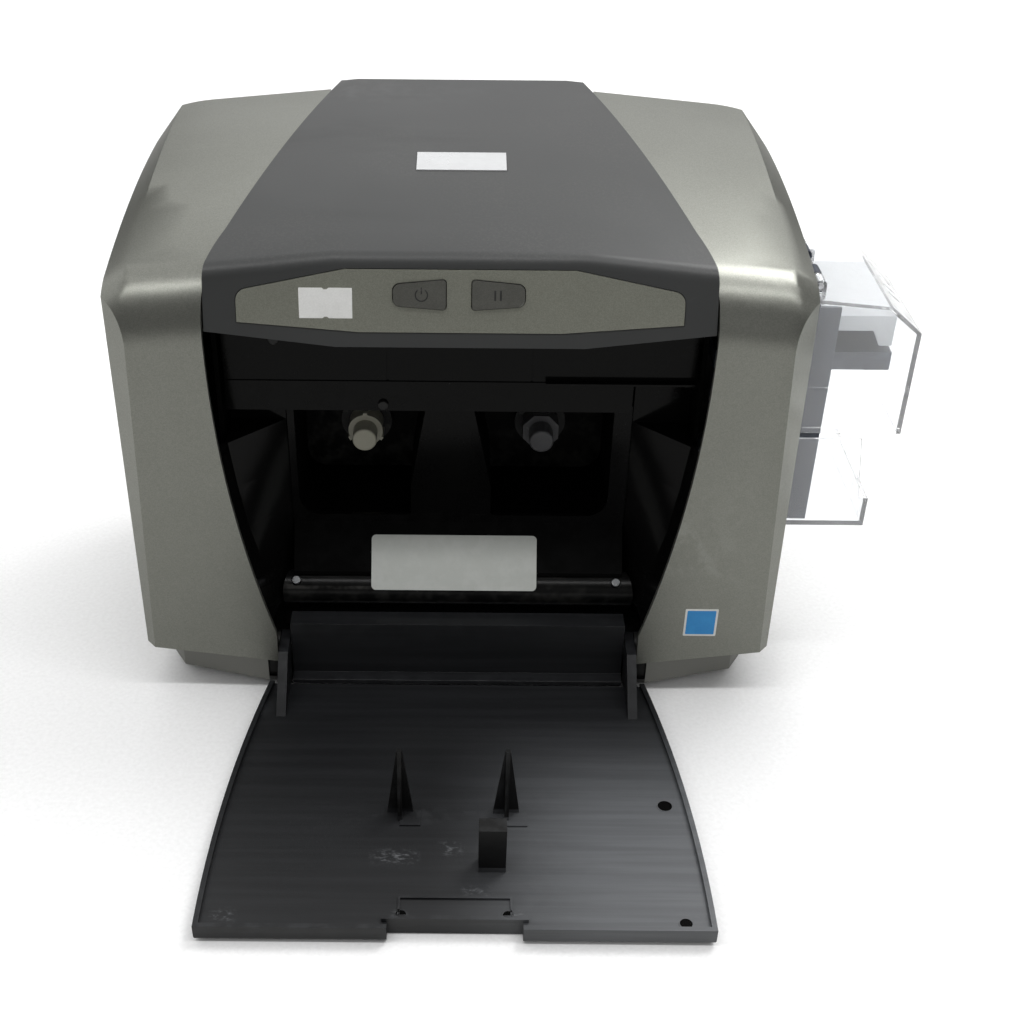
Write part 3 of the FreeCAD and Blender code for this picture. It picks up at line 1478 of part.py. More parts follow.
def make_pulley(x, z, shaft):
    """Return a toothless belt pulley with a flange on its rear side, solid about its shaft."""
    rim = rod("y", x, z, pulley_radius, belt_y, belt_y + belt_width)
    collar = rod("y", x, z, shaft + belt_thickness, belt_y + belt_width, belt_y + belt_width + pulley_flange)
    return rim.fuse(collar)


def make_roller(x, z, driven):
    """Return a rubber-sleeved roller on its shaft; a driven one has a pulley behind the bulkhead."""
    pieces = [rod("y", x, z, roller_radius, sleeve_front_y, sleeve_rear_y)]
    if driven:
        pieces.append(rod("y", x, z, shaft_radius, journal_front_y, belt_y + belt_width))
        pieces.append(make_pulley(x, z, shaft_radius))
    else:
        pieces.append(rod("y", x, z, shaft_radius, journal_front_y, bulkhead_back_y))
    return joined(pieces)


def make_pick_roller():
    """Return the pick roller, carried at its rear end over the card stack."""
    front = card_middle_y - pick_half_width
    return joined([
        rod("y", pick_x, upper_axis_z, roller_radius, front, card_middle_y + pick_half_width),
        rod("y", pick_x, upper_axis_z, shaft_radius, front, belt_y + belt_width),
        make_pulley(pick_x, upper_axis_z, shaft_radius),
    ])


def make_idler():
    """Return the idler pulley with its own stub shaft in the bulkhead."""
    return joined([
        make_pulley(idler_x, drive_axis_z, shaft_radius),
        rod("y", idler_x, drive_axis_z, shaft_radius, rear_bulkhead_y, belt_y + belt_width),
    ])


def make_belt():
    """Return the timing belt round the outfeed, idler and motor pulleys."""
    loop = Part.makePolygon([
        Vector(outfeed_x, belt_y, drive_axis_z), Vector(mech_x, belt_y, motor_axis_z),
        Vector(idler_x, belt_y, drive_axis_z), Vector(outfeed_x, belt_y, drive_axis_z),
    ])
    face = Part.Face(loop)
    outer = face.makeOffset2D(pulley_pitch_radius + belt_thickness / 2)
    inner = face.makeOffset2D(pulley_pitch_radius - belt_thickness / 2)
    run = Vector(0, belt_width, 0)
    return outer.extrude(run).cut(inner.extrude(run))


def make_card_rails():
    """Return the two rails that hold the card's edges."""
    low = card_height + card_thickness / 2 - rail_height / 2
    slot_low = card_height + card_thickness / 2 - rail_slot / 2
    front_edge = card_middle_y - card_half_width
    rear_edge = card_middle_y + card_half_width
    front = box(rail_left_x, rail_right_x - frame_thickness, header_back_y + fit_gap, front_edge + rail_bite,
                low, low + rail_height)
    front = front.cut(box(rail_left_x - overrun, rail_right_x + overrun, front_edge - fit_gap,
                          front_edge + rail_bite + overrun, slot_low, slot_low + rail_slot))
    rear = box(rail_left_x, rail_right_x - frame_thickness, rear_edge - rail_bite, rear_bulkhead_y,
               low, low + rail_height)
    rear = rear.cut(box(rail_left_x - overrun, rail_right_x + overrun, rear_edge - rail_bite - overrun,
                        rear_edge + fit_gap, slot_low, slot_low + rail_slot))
    return [front, rear]


def make_drive_motor():
    """Return the square drive motor behind the gear plate."""
    body = box(mech_x - motor_half_width, mech_x + motor_half_width, gear_plate_back_y,
               gear_plate_back_y + motor_length, motor_axis_z - motor_half_width + fit_gap,
               motor_axis_z + motor_half_width)
    upright = [edge for edge in body.Edges if edge.BoundBox.YLength > motor_length / 2]
    body = body.makeChamfer(motor_chamfer, upright)
    bore = rod("y", mech_x, motor_axis_z, motor_shaft_radius + running_gap, gear_plate_back_y,
               gear_plate_back_y + journal_depth + running_gap)
    return body.cut(bore)


def make_motor_pulley():
    """Return the drive motor's pulley and the shaft that it turns on."""
    return joined([
        make_pulley(mech_x, motor_axis_z, motor_shaft_radius),
        rod("y", mech_x, motor_axis_z, motor_shaft_radius, belt_y, gear_plate_back_y + journal_depth),
    ])


def make_rear_panel():
    """Return the rear panel with vents, socket cut-outs, board bosses and the top cover's hinge lugs."""
    side_top = roof_height(rear_panel_half_width, rear_panel_y, shell_wall) - seam_gap - fit_gap
    shelf_top = roof_height(rear_shelf_half_width, rear_panel_y, shell_wall) - seam_gap - fit_gap
    half = [(rear_panel_half_width, pan_top), (rear_panel_half_width, side_top),
            (rear_shelf_half_width, shelf_top), (rear_shelf_half_width, rear_panel_top)]
    outline = half + [(-x, z) for x, z in reversed(half)]
    panel = prism("xz", outline, rear_panel_y, rear_panel_back_y)
    first = -vent_pitch * (vent_count - 1) / 2
    for index in range(vent_count):
        x = first + index * vent_pitch
        panel = panel.cut(box(x - vent_width / 2, x + vent_width / 2, rear_panel_y - overrun,
                              rear_panel_back_y + overrun, vent_low, vent_low + vent_length))
    panel = panel.cut(box(usb_x - usb_width / 2 - fit_gap, usb_x + usb_width / 2 + fit_gap,
                          rear_panel_y - overrun, rear_panel_back_y + overrun,
                          socket_height - usb_height / 2 - fit_gap, socket_height + usb_height / 2 + fit_gap))
    panel = panel.cut(box(power_x - power_width / 2 - fit_gap, power_x + power_width / 2 + fit_gap,
                          rear_panel_y - overrun, rear_panel_back_y + overrun,
                          socket_height - power_width / 2 - fit_gap,
                          socket_height + power_width / 2 + fit_gap))
    pieces = [panel]
    ridge_top = lid_hinge_z + lid_hinge_drop - seam_gap
    ridge_x = lug_x + lug_width
    pieces.append(box(-ridge_x, ridge_x, rear_panel_y, rear_panel_back_y, rear_panel_top, ridge_top))
    board_back = board_y + board_thickness
    for x in (board_left + board_boss_inset, board_right - board_boss_inset):
        for z in (board_low + board_boss_inset, board_high - board_boss_inset):
            pieces.append(rod("y", x, z, standoff_radius, board_back, rear_panel_y))
    bores = []
    for side in (1, -1):
        knuckle_end = lug_x + lug_width + 2 * fit_gap + knuckle_width
        for start in (lug_x, knuckle_end):
            low, high = sorted((side * start, side * (start + lug_width)))
            lug = rod("x", lid_hinge_y, lid_hinge_z, lug_radius, low, high)
            web = box(low, high, lid_hinge_y - lug_radius / 2, rear_panel_back_y, rear_panel_top - overrun,
                      lid_hinge_z)
            pieces.append(lug.fuse(web))
            bores.append(rod("x", lid_hinge_y, lid_hinge_z, pin_radius + running_gap, low, high))
    panel = joined(pieces)
    for bore in bores:
        panel = panel.cut(bore)
    return panel


def make_hinge_pins():
    """Return the hinge pins of the door, the top cover and the hopper cover."""
    pins = []
    for side in (1, -1):
        low, high = sorted((side * (ear_inner_x - fit_gap), side * (hinge_lug_x + hinge_lug_width)))
        pins.append(rod("x", door_hinge_y, door_hinge_z, pin_radius, low, high))
        low, high = sorted((side * lug_x, side * (lug_x + 2 * lug_width + knuckle_width + 2 * fit_gap)))
        pins.append(rod("x", lid_hinge_y, lid_hinge_z, pin_radius, low, high))
    end = hopper_knuckle_places[1] + hopper_knuckle_width
    pins.append(rod("y", hopper_pin_x, hopper_pin_z, hopper_pin_radius, hopper_knuckle_places[0], end))
    return pins


def make_main_board():
    """Return the main board with its larger parts, clear of the motors."""
    pieces = [box(board_left, board_right, board_y, board_y + board_thickness, board_low, board_high)]
    for (x_share, z_share), size, depth in zip(board_part_shares, board_part_widths, board_part_depths):
        x = board_left + (board_right - board_left) * x_share
        z = board_low + (board_high - board_low) * z_share
        pieces.append(box(x - size / 2, x + size / 2, board_y - depth, board_y, z - size / 2, z + size / 2))
    return joined(pieces)


def make_usb_socket():
    """Return the square USB socket with its tongue."""
    front = board_y + board_thickness
    body = box(usb_x - usb_width / 2, usb_x + usb_width / 2, front, rear_panel_back_y,
               socket_height - usb_height / 2, socket_height + usb_height / 2)
    cavity_top = socket_height + usb_cavity_height / 2
    depth = (rear_panel_back_y - front) * usb_depth_share
    cavity = box(usb_x - usb_cavity_width / 2, usb_x + usb_cavity_width / 2, rear_panel_back_y - depth,
                 rear_panel_back_y, socket_height - usb_cavity_height / 2, cavity_top)
    tongue_top = cavity_top - usb_tongue_gap
    tongue = box(usb_x - usb_tongue_width / 2, usb_x + usb_tongue_width / 2, rear_panel_back_y - depth,
                 rear_panel_back_y - usb_tongue_inset, tongue_top - usb_tongue_height, tongue_top)
    return joined([body.cut(cavity), tongue])


def make_power_socket():
    """Return the round power inlet with its ring of pins in a square block."""
    front = board_y + board_thickness
    body = box(power_x - power_width / 2, power_x + power_width / 2, front, rear_panel_back_y,
               socket_height - power_width / 2, socket_height + power_width / 2)
    bottom = rear_panel_back_y - power_bore_depth
    body = body.cut(rod("y", power_x, socket_height, power_bore_radius, bottom, rear_panel_back_y))
    pieces = [body]
    for index in range(power_pin_count):
        angle = math.radians((index + 0.5) * 360 / power_pin_count)
        pieces.append(rod("y", power_x + power_pin_ring * math.cos(angle),
                          socket_height + power_pin_ring * math.sin(angle), power_pin_radius,
                          bottom - power_pin_radius, bottom + power_pin_length))
    return joined(pieces)


def hopper_knuckle(start, web_left, web_right, web_low, web_high):
    """Return one knuckle of the hopper's hinge with the web that joins it to its carrier."""
    end = start + hopper_knuckle_width
    barrel = rod("y", hopper_pin_x, hopper_pin_z, hopper_knuckle_radius, start, end)
    web = box(web_left, web_right, start, end, web_low, web_high)
    bore = rod("y", hopper_pin_x, hopper_pin_z, hopper_pin_radius + running_gap, start, end)
    return barrel.fuse(web).cut(bore)


def make_hopper_frame():
    """Return the hopper's mounting frame: a sleeve in the shell, a flange on it and two rails."""
    reach = hopper_flange_reach
    flange = box(flange_x, flange_outer_x, hopper_front_y - reach, hopper_rear_y + reach, hopper_low,
                 hopper_high)
    sleeve_x = body_half_width - shell_wall - fit_gap
    sleeve_low = hopper_low + hopper_cut_inset
    sleeve_high = hopper_high - hopper_cut_inset
    sleeve = box(sleeve_x, flange_x, hopper_front_y, hopper_rear_y, sleeve_low, sleeve_high)
    frame = flange.fuse(sleeve)
    inner_front = hopper_front_y + hopper_sleeve_wall
    inner_rear = hopper_rear_y - hopper_sleeve_wall
    lower_window = box(sleeve_x - overrun, flange_outer_x + overrun, inner_front, inner_rear,
                       sleeve_low + hopper_sleeve_wall, hopper_web_low)
    upper_window = box(sleeve_x - overrun, flange_outer_x + overrun, inner_front, inner_rear,
                       hopper_web_high, sleeve_high - hopper_sleeve_wall)
    frame = frame.cut(lower_window).cut(upper_window)
    rail_end = flange_outer_x + hopper_rail_reach
    pieces = [frame]
    inset = hopper_rail_inset
    for low, high in ((hopper_front_y + inset, hopper_front_y + inset + hopper_rail_width),
                      (hopper_rear_y - inset - hopper_rail_width, hopper_rear_y - inset)):
        pieces.append(box(flange_outer_x, rail_end, low, high, bin_low + bin_wall + fit_gap, sleeve_high))
    starts = (hopper_knuckle_places[0] + hopper_knuckle_width + fit_gap,
              hopper_knuckle_places[1] - hopper_knuckle_width - fit_gap)
    for start in starts:
        pieces.append(hopper_knuckle(start, flange_x, flange_outer_x, sleeve_high,
                                     hopper_pin_z + hopper_knuckle_radius))
    return joined(pieces)


def make_hopper_cover():
    """Return the clear hinged cover of the hopper."""
    outer = [(cover_left_x, cover_bottom), (cover_left_x, cover_top_inner), (cover_fold_x, cover_top_outer),
             (cover_reach, cover_fold_height), (cover_reach, cover_bottom)]
    wall = cover_wall
    inner = [(cover_left_x - overrun, cover_bottom - overrun),
             (cover_left_x - overrun, cover_top_inner - wall),
             (cover_fold_x - wall / 2, cover_top_outer - wall),
             (cover_reach - wall, cover_fold_height - wall / 2),
             (cover_reach - wall, cover_bottom - overrun)]
    shell = prism("xz", outer, cover_front_y, cover_rear_y)
    shell = shell.cut(prism("xz", inner, cover_front_y + wall, cover_rear_y - wall))
    middle_x = (cover_fold_x + cover_reach) / 2
    middle_z = (cover_top_outer + cover_fold_height) / 2
    first = (cover_front_y + cover_rear_y) / 2 - cover_slot_pitch * (cover_slot_count - 1) / 2
    slope = math.degrees(math.atan2(cover_top_outer - cover_fold_height, cover_reach - cover_fold_x))
    for index in range(cover_slot_count):
        slot = box(-cover_slot_length / 2, cover_slot_length / 2, -cover_slot_width / 2, cover_slot_width / 2,
                   -overrun, overrun)
        slot.rotate(Vector(0, 0, 0), Vector(0, 1, 0), slope)
        slot.translate(Vector(middle_x, first + index * cover_slot_pitch, middle_z))
        shell = shell.cut(slot)
    pieces = [shell]
    for z in cover_rib_places:
        pieces.append(box(cover_left_x, cover_reach - cover_rib, cover_front_y - cover_rib, cover_front_y,
                          z - cover_rib_height / 2, z + cover_rib_height / 2))
    for start in hopper_knuckle_places:
        pieces.append(hopper_knuckle(start, cover_left_x, hopper_pin_x + hopper_knuckle_radius,
                                     cover_top_outer - wall, hopper_pin_z))
    return joined(pieces)


def make_lift_tray():
    """Return the card lift tray, with sleeves below it for its guide posts."""
    low_y = card_middle_y - tray_half_width
    high_y = card_middle_y + tray_half_width
    low = tray_top - tray_height
    tray = box(tray_left_x, tray_reach, low_y, high_y, low, tray_top)
    tray = tray.cut(box(tray_left_x + tray_wall, tray_reach - tray_wall, low_y + tray_wall,
                        high_y - tray_wall,
                        low, tray_top - tray_wall))
    pieces = [tray]
    for side in (1, -1):
        y = card_middle_y + side * tray_post_pitch / 2
        outer = tray_post_radius + running_gap + tray_sleeve_wall
        sleeve = rod("z", tray_post_x, y, outer, tray_sleeve_bottom, tray_top - tray_wall)
        bore = rod("z", tray_post_x, y, tray_post_radius + running_gap, tray_sleeve_bottom,
                   tray_top - tray_wall)
        pieces.append(sleeve.cut(bore))
    return joined(pieces)


def make_tray_bracket():
    """Return the bracket on the chassis side plate with the two guide posts of the tray."""
    low_y = card_middle_y - tray_half_width
    high_y = card_middle_y + tray_half_width
    base_low = tray_base_height - tray_base_thickness
    pieces = [
        box(frame_x, tray_post_x + tray_base_length / 2, low_y, high_y, base_low, tray_base_height),
        box(frame_x, frame_x + tray_base_thickness, low_y, high_y, base_low - tray_base_length, base_low),
    ]
    for side in (1, -1):
        pieces.append(rod("z", tray_post_x, card_middle_y + side * tray_post_pitch / 2, tray_post_radius,
                          tray_base_height, tray_top - tray_wall - tray_travel - fit_gap))
    return joined(pieces)


def make_tray_spring():
    """Return the lift tray's spring between the bracket and the tray, as a sleeve."""
    top = tray_top - tray_wall
    outer = rod("z", tray_post_x, card_middle_y, spring_radius, tray_base_height, top)
    return outer.cut(rod("z", tray_post_x, card_middle_y, spring_radius - spring_wire, tray_base_height, top))


def make_output_bin():
    """Return the clear output bin with a low outer lip."""
    left = flange_outer_x
    front = hopper_front_y - fit_gap - bin_wall
    back = hopper_rear_y + fit_gap + bin_wall
    tub = box(left, bin_reach, front, back, bin_low, bin_high)
    tub = tub.cut(box(left - overrun, bin_reach - bin_wall, front + bin_wall, back - bin_wall,
                      bin_low + bin_wall, bin_high + overrun))
    lip = prism("xz", [(bin_reach - 2 * bin_lip_reach, bin_high + overrun),
                       (bin_reach - bin_lip_reach, bin_lip_high),
                       (bin_reach + overrun, bin_lip_high), (bin_reach + overrun, bin_high + overrun)],
                front - overrun, back + overrun)
    return tub.cut(lip)


def make_stack_cap():
    """Return the light cap over the card stack, open below, with a notch in its front wall."""
    front = hopper_front_y + hopper_rail_inset + hopper_rail_width + fit_gap
    back = hopper_rear_y - hopper_rail_inset - hopper_rail_width - fit_gap
    cap = box(flange_outer_x, cap_reach, front, back, cap_low, cap_high)
    cap = cap.cut(box(flange_outer_x - overrun, cap_reach - cap_wall, front + cap_wall, back - cap_wall,
                      cap_low - overrun, cap_high - cap_wall))
    middle = (flange_outer_x + cap_reach) / 2
    slant = cap_notch_height / 2
    notch = prism("xz", [(middle - cap_notch_width / 2, cap_low - overrun),
                         (middle - cap_notch_width / 2, cap_low),
                         (middle - cap_notch_width / 2 + slant, cap_low + cap_notch_height),
                         (middle + cap_notch_width / 2 - slant, cap_low + cap_notch_height),
                         (middle + cap_notch_width / 2, cap_low),
                         (middle + cap_notch_width / 2, cap_low - overrun)],
                  front - overrun, front + cap_wall + running_gap)
    return cap.cut(notch)


def main():
    """Build every piece and write its file."""
    os.makedirs("parts", exist_ok=True)

    save("base_pan", make_base_pan())
    save("rubber_feet", *make_feet())
    save("left_side_shell", mirrored(make_side_shell()))
    save("right_side_shell", make_right_shell())
    save("rear_panel", make_rear_panel())
    save("top_cover", make_top_cover())
    save("control_panel", make_control_panel())
    for name in button_sides:
        save(name, make_button(name))
    save("name_plate", make_plate(0))
    save("hinge_pins", *make_hinge_pins())
    save("front_door", make_front_door())
    save("door_threshold", make_threshold())
    save("right_cheek", make_cheek(header_step_height - fit_gap))
    save("left_cheek", mirrored(make_cheek(header_bottom - fit_gap)))
    save("header_panel", make_header())
    save("screw_heads", *make_screws())
    save("window_plate", make_window_plate())
    save("left_ribbon_bay", make_ribbon_bay(-1))
    save("right_ribbon_bay", make_ribbon_bay(1))
    save("lower_apron", make_apron())
    save("cross_bar", make_cross_bar())
    save("data_label", make_label())

    save("chassis_floor", make_chassis_floor())
    save("left_frame_plate", make_frame_plate(-1))
    save("right_frame_plate", make_frame_plate(1))
    save("rear_bulkhead", make_rear_bulkhead())
    save("gear_plate", make_gear_plate())

    save("takeup_spindle", make_takeup_spindle())
    save("takeup_gear", gear_wheel(takeup_x, spindle_height, takeup_teeth, ribbon_motor_angle,
                                   shaft_radius))
    save("supply_spindle", make_supply_spindle())
    pinion_half_step = 180 / pinion_teeth
    save("takeup_pinion", make_pinion(ribbon_motor_x, ribbon_motor_z,
                                      ribbon_motor_angle + 180 + pinion_half_step))
    save("takeup_motor", round_motor(ribbon_motor_x, ribbon_motor_z, ribbon_motor_radius))
    save("lift_cam", make_lift_cam())
    save("cam_pinion", make_pinion(mech_x, cam_motor_z, cam_tooth_angle - 180 + pinion_half_step))
    save("cam_motor", round_motor(mech_x, cam_motor_z, cam_motor_radius))
    save("head_carrier", make_head_carrier())
    save("print_head", make_print_head())

    save("platen_roller", make_roller(mech_x, upper_axis_z, True))
    save("infeed_roller", make_roller(infeed_x, drive_axis_z, True))
    save("outfeed_roller", make_roller(outfeed_x, drive_axis_z, True))
    save("infeed_pinch_roller", make_roller(infeed_x, upper_axis_z, False))
    save("outfeed_pinch_roller", make_roller(outfeed_x, upper_axis_z, False))
    save("pick_roller", make_pick_roller())
    save("idler_pulley", make_idler())
    save("timing_belt", make_belt())
    save("card_rails", *make_card_rails())
    save("drive_motor", make_drive_motor())
    save("motor_pulley", make_motor_pulley())

    save("main_board", make_main_board())
    save("usb_socket", make_usb_socket())
    save("power_socket", make_power_socket())

    save("hopper_frame", make_hopper_frame())
    save("hopper_cover", make_hopper_cover())
    save("card_lift_tray", make_lift_tray())
    save("tray_bracket", make_tray_bracket())
    save("tray_spring", make_tray_spring())
    save("output_bin", make_output_bin())
    save("stack_cap", make_stack_cap())


if __name__ == "__main__":
    main()
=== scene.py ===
import logging
import math
from dataclasses import dataclass
from enum import Enum
from typing import Sequence

import bmesh
import bpy
from mathutils import Euler, Matrix, Vector
from mathutils.bvhtree import BVHTree


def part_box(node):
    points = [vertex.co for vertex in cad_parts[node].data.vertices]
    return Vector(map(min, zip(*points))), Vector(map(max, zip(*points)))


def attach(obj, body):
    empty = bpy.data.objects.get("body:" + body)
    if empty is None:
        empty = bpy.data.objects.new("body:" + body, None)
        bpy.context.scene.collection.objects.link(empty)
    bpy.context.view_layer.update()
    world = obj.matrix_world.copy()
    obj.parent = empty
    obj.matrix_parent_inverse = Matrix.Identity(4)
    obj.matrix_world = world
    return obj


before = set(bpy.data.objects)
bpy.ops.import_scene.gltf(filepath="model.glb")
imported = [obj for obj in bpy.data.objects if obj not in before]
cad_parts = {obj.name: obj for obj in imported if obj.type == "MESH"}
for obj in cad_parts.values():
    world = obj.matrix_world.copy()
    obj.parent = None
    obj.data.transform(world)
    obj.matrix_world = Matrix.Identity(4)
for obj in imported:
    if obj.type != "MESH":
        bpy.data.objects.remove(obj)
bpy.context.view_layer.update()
LOG = logging.getLogger("card_printer")

Colour = tuple[int, int, int]
Point = tuple[float, float]
Triple = tuple[float, float, float]
Socket = bpy.types.NodeSocket
Node = bpy.types.Node
Piece = bpy.types.Object
Material = bpy.types.Material
Outputs = dict[str, Socket]
Dressing = tuple[tuple[str, float, str], ...]
MM = 0.001
MICRON = 0.000001
BOX_GROWTH = 0.5
BEVEL_STEPS = 2
CLOUD_MIDDLE = 0.52
CENTRE_X = 24.25
CENTRE_Y = 15.0
FACE_TILT = math.radians(13.0)
FACE_FOOT = (1.5, 190.5)
ABOVE_FACE = 3.0
ABOVE_DOOR = 30.0
BOARD_THICKNESS = 1.6
BULKHEAD_SKIN = 1.0
SLEEVE_ENDS = (31.0, 79.5)


def linear(colour: Colour) -> tuple[float, float, float, float]:
    """Turn a colour as the eye reads it, each part from 0 to 255, into a socket's four linear values."""
    shares = [value / 255 for value in colour]
    return (*(s / 12.92 if s <= 0.04045 else ((s + 0.055) / 1.055) ** 2.4 for s in shares), 1.0)


def place(x: float, y: float, z: float) -> Vector:
    """Turn millimetres right of the body's middle, behind its front and above the table into the frame's."""
    return Vector(((x - CENTRE_X) * MM, (y - CENTRE_Y) * MM, z * MM))


def spot(x: float, y: float, z: float) -> Triple:
    """Return the same place as place does, as plain numbers."""
    return tuple(place(x, y, z))


def face_place(x: float, along: float, proud: float) -> Vector:
    """Return a place on the cover's tilted face, by millimetres to the right, up along it and out of it."""
    y = FACE_FOOT[0] + along * math.sin(FACE_TILT) - proud * math.cos(FACE_TILT)
    z = FACE_FOOT[1] + along * math.cos(FACE_TILT) + proud * math.sin(FACE_TILT)
    return place(x, y, z)


def adjust(thing: object, **settings: object) -> object:
    """Set properties of a node, a modifier, a lamp or a camera, and return it."""
    for name, value in settings.items():
        setattr(thing, name, value)
    return thing


def show(name: str, data: bpy.types.ID) -> Piece:
    """Put a mesh, a lamp or a camera into the scene as an object."""
    made = bpy.data.objects.new(name, data)
    bpy.context.scene.collection.objects.link(made)
    return made


class Effect(Enum):
    """The surface effects that several finishes share, each by its name and with its inputs."""

    GRAIN = "moulded_grain", {"Scale": 2600}
    CLOUD = "cloudy_marks", {"Scale": 14, "Edge": 0.16}
    DUST = "settled_dust", {"Scale": 900}
    WEAR = "rubbed_edges", {"Scale": 120}
    FLAKE = "metal_flake", {"Scale": 4200}
    FLOW = "flow_lines", {"Scale": 220, "Stretch": (0.03, 1, 1)}
    SCRATCH = "fine_scratches", {"Scale": 60}
    SMEAR = "wiped_smears", {"Scale": 26}
    SPAN = "span_mask", {"Low": (-1, -1, -1), "High": (1, 1, 1), "Soft": 0.0002}


SHELF: dict[Effect, bpy.types.NodeTree] = {}


class ShaderSketch:
    """A node tree that is filled one named step at a time."""

    def __init__(self, tree: bpy.types.NodeTree) -> None:
        """Take the tree that gets the nodes."""
        self.tree = tree

    def node(self, kind: str, inputs: dict[int | str, object] | None = None, **settings: object) -> Node:
        """Add a node with its settings, and feed some of its inputs, each by its name or number."""
        made = adjust(self.tree.nodes.new(kind), **settings)
        for label, value in (inputs or {}).items():
            self.feed(made.inputs[label], value)
        return made

    def feed(self, socket: Socket, value: object) -> None:
        """Link a socket to an input, or set the input's own value, a colour as the eye reads it."""
        if isinstance(value, Socket):
            self.tree.links.new(value, socket)
        else:
            socket.default_value = linear(value) if socket.type == "RGBA" else value

    def find(self, kind: str) -> Node:
        """Return the tree's first node of a kind."""
        return next(node for node in self.tree.nodes if node.type == kind)

    def math(self, operation: str, first: object, second: object) -> Socket:
        """Add one step of arithmetic, by Blender's name for it."""
        return self.node("ShaderNodeMath", {0: first, 1: second}, operation=operation).outputs[0]

    def times(self, first: object, second: object) -> Socket:
        """Multiply two values."""
        return self.math("MULTIPLY", first, second)

    def mix(self, share: object, first: object, second: object, blend: str = "MIX") -> Socket:
        """Mix two colours, the first at a share of 0 and the second at 1."""
        inputs = {0: share, 6: first, 7: second}
        return self.node("ShaderNodeMix", inputs, data_type="RGBA", blend_type=blend,
                         clamp_factor=True).outputs[2]

    def between(self, share: object, low: object, high: object) -> Socket:
        """Mix two numbers, low at a share of 0 and high at 1."""
        inputs = {0: share, 2: low, 3: high}
        return self.node("ShaderNodeMix", inputs, data_type="FLOAT", clamp_factor=True).outputs[0]

    def window(self, value: object, low: object, high: object, top: float = 1.0) -> Socket:
        """Rise smoothly from 0 to top while a value goes from low to high."""
        inputs = {"Value": value, "From Min": low, "From Max": high, "To Max": top}
        return self.node("ShaderNodeMapRange", inputs, interpolation_type="SMOOTHSTEP").outputs[0]

    def here(self, stretch: Triple = (1, 1, 1), turn: float = 0.0) -> Socket:
        """Return the object's own coordinates, stretched along its axes and turned by degrees about Z."""
        at = self.node("ShaderNodeTexCoord").outputs["Object"]
        if stretch == (1, 1, 1) and not turn:
            return at
        inputs = {"Vector": at, "Scale": stretch, "Rotation": (0, 0, math.radians(turn))}
        return self.node("ShaderNodeMapping", inputs).outputs[0]

    def noise(self, at: Socket, scale: object, detail: float, rough: float = 0.55, warp: float = 0) -> Socket:
        """Add soft noise about 0.5, with its turns in a metre and the strength of its finer layers."""
        inputs = {"Vector": at, "Scale": scale, "Detail": detail, "Roughness": rough, "Distortion": warp}
        return self.node("ShaderNodeTexNoise", inputs).outputs["Fac"]

    def spots(self, scale: object, low: float, high: float, detail: float = 1, rough: float = 0.55) -> Socket:
        """Return noise over the whole object, risen from 0 where it is low to 1 where it is high."""
        return self.window(self.noise(self.here(), scale, detail, rough), low, high)


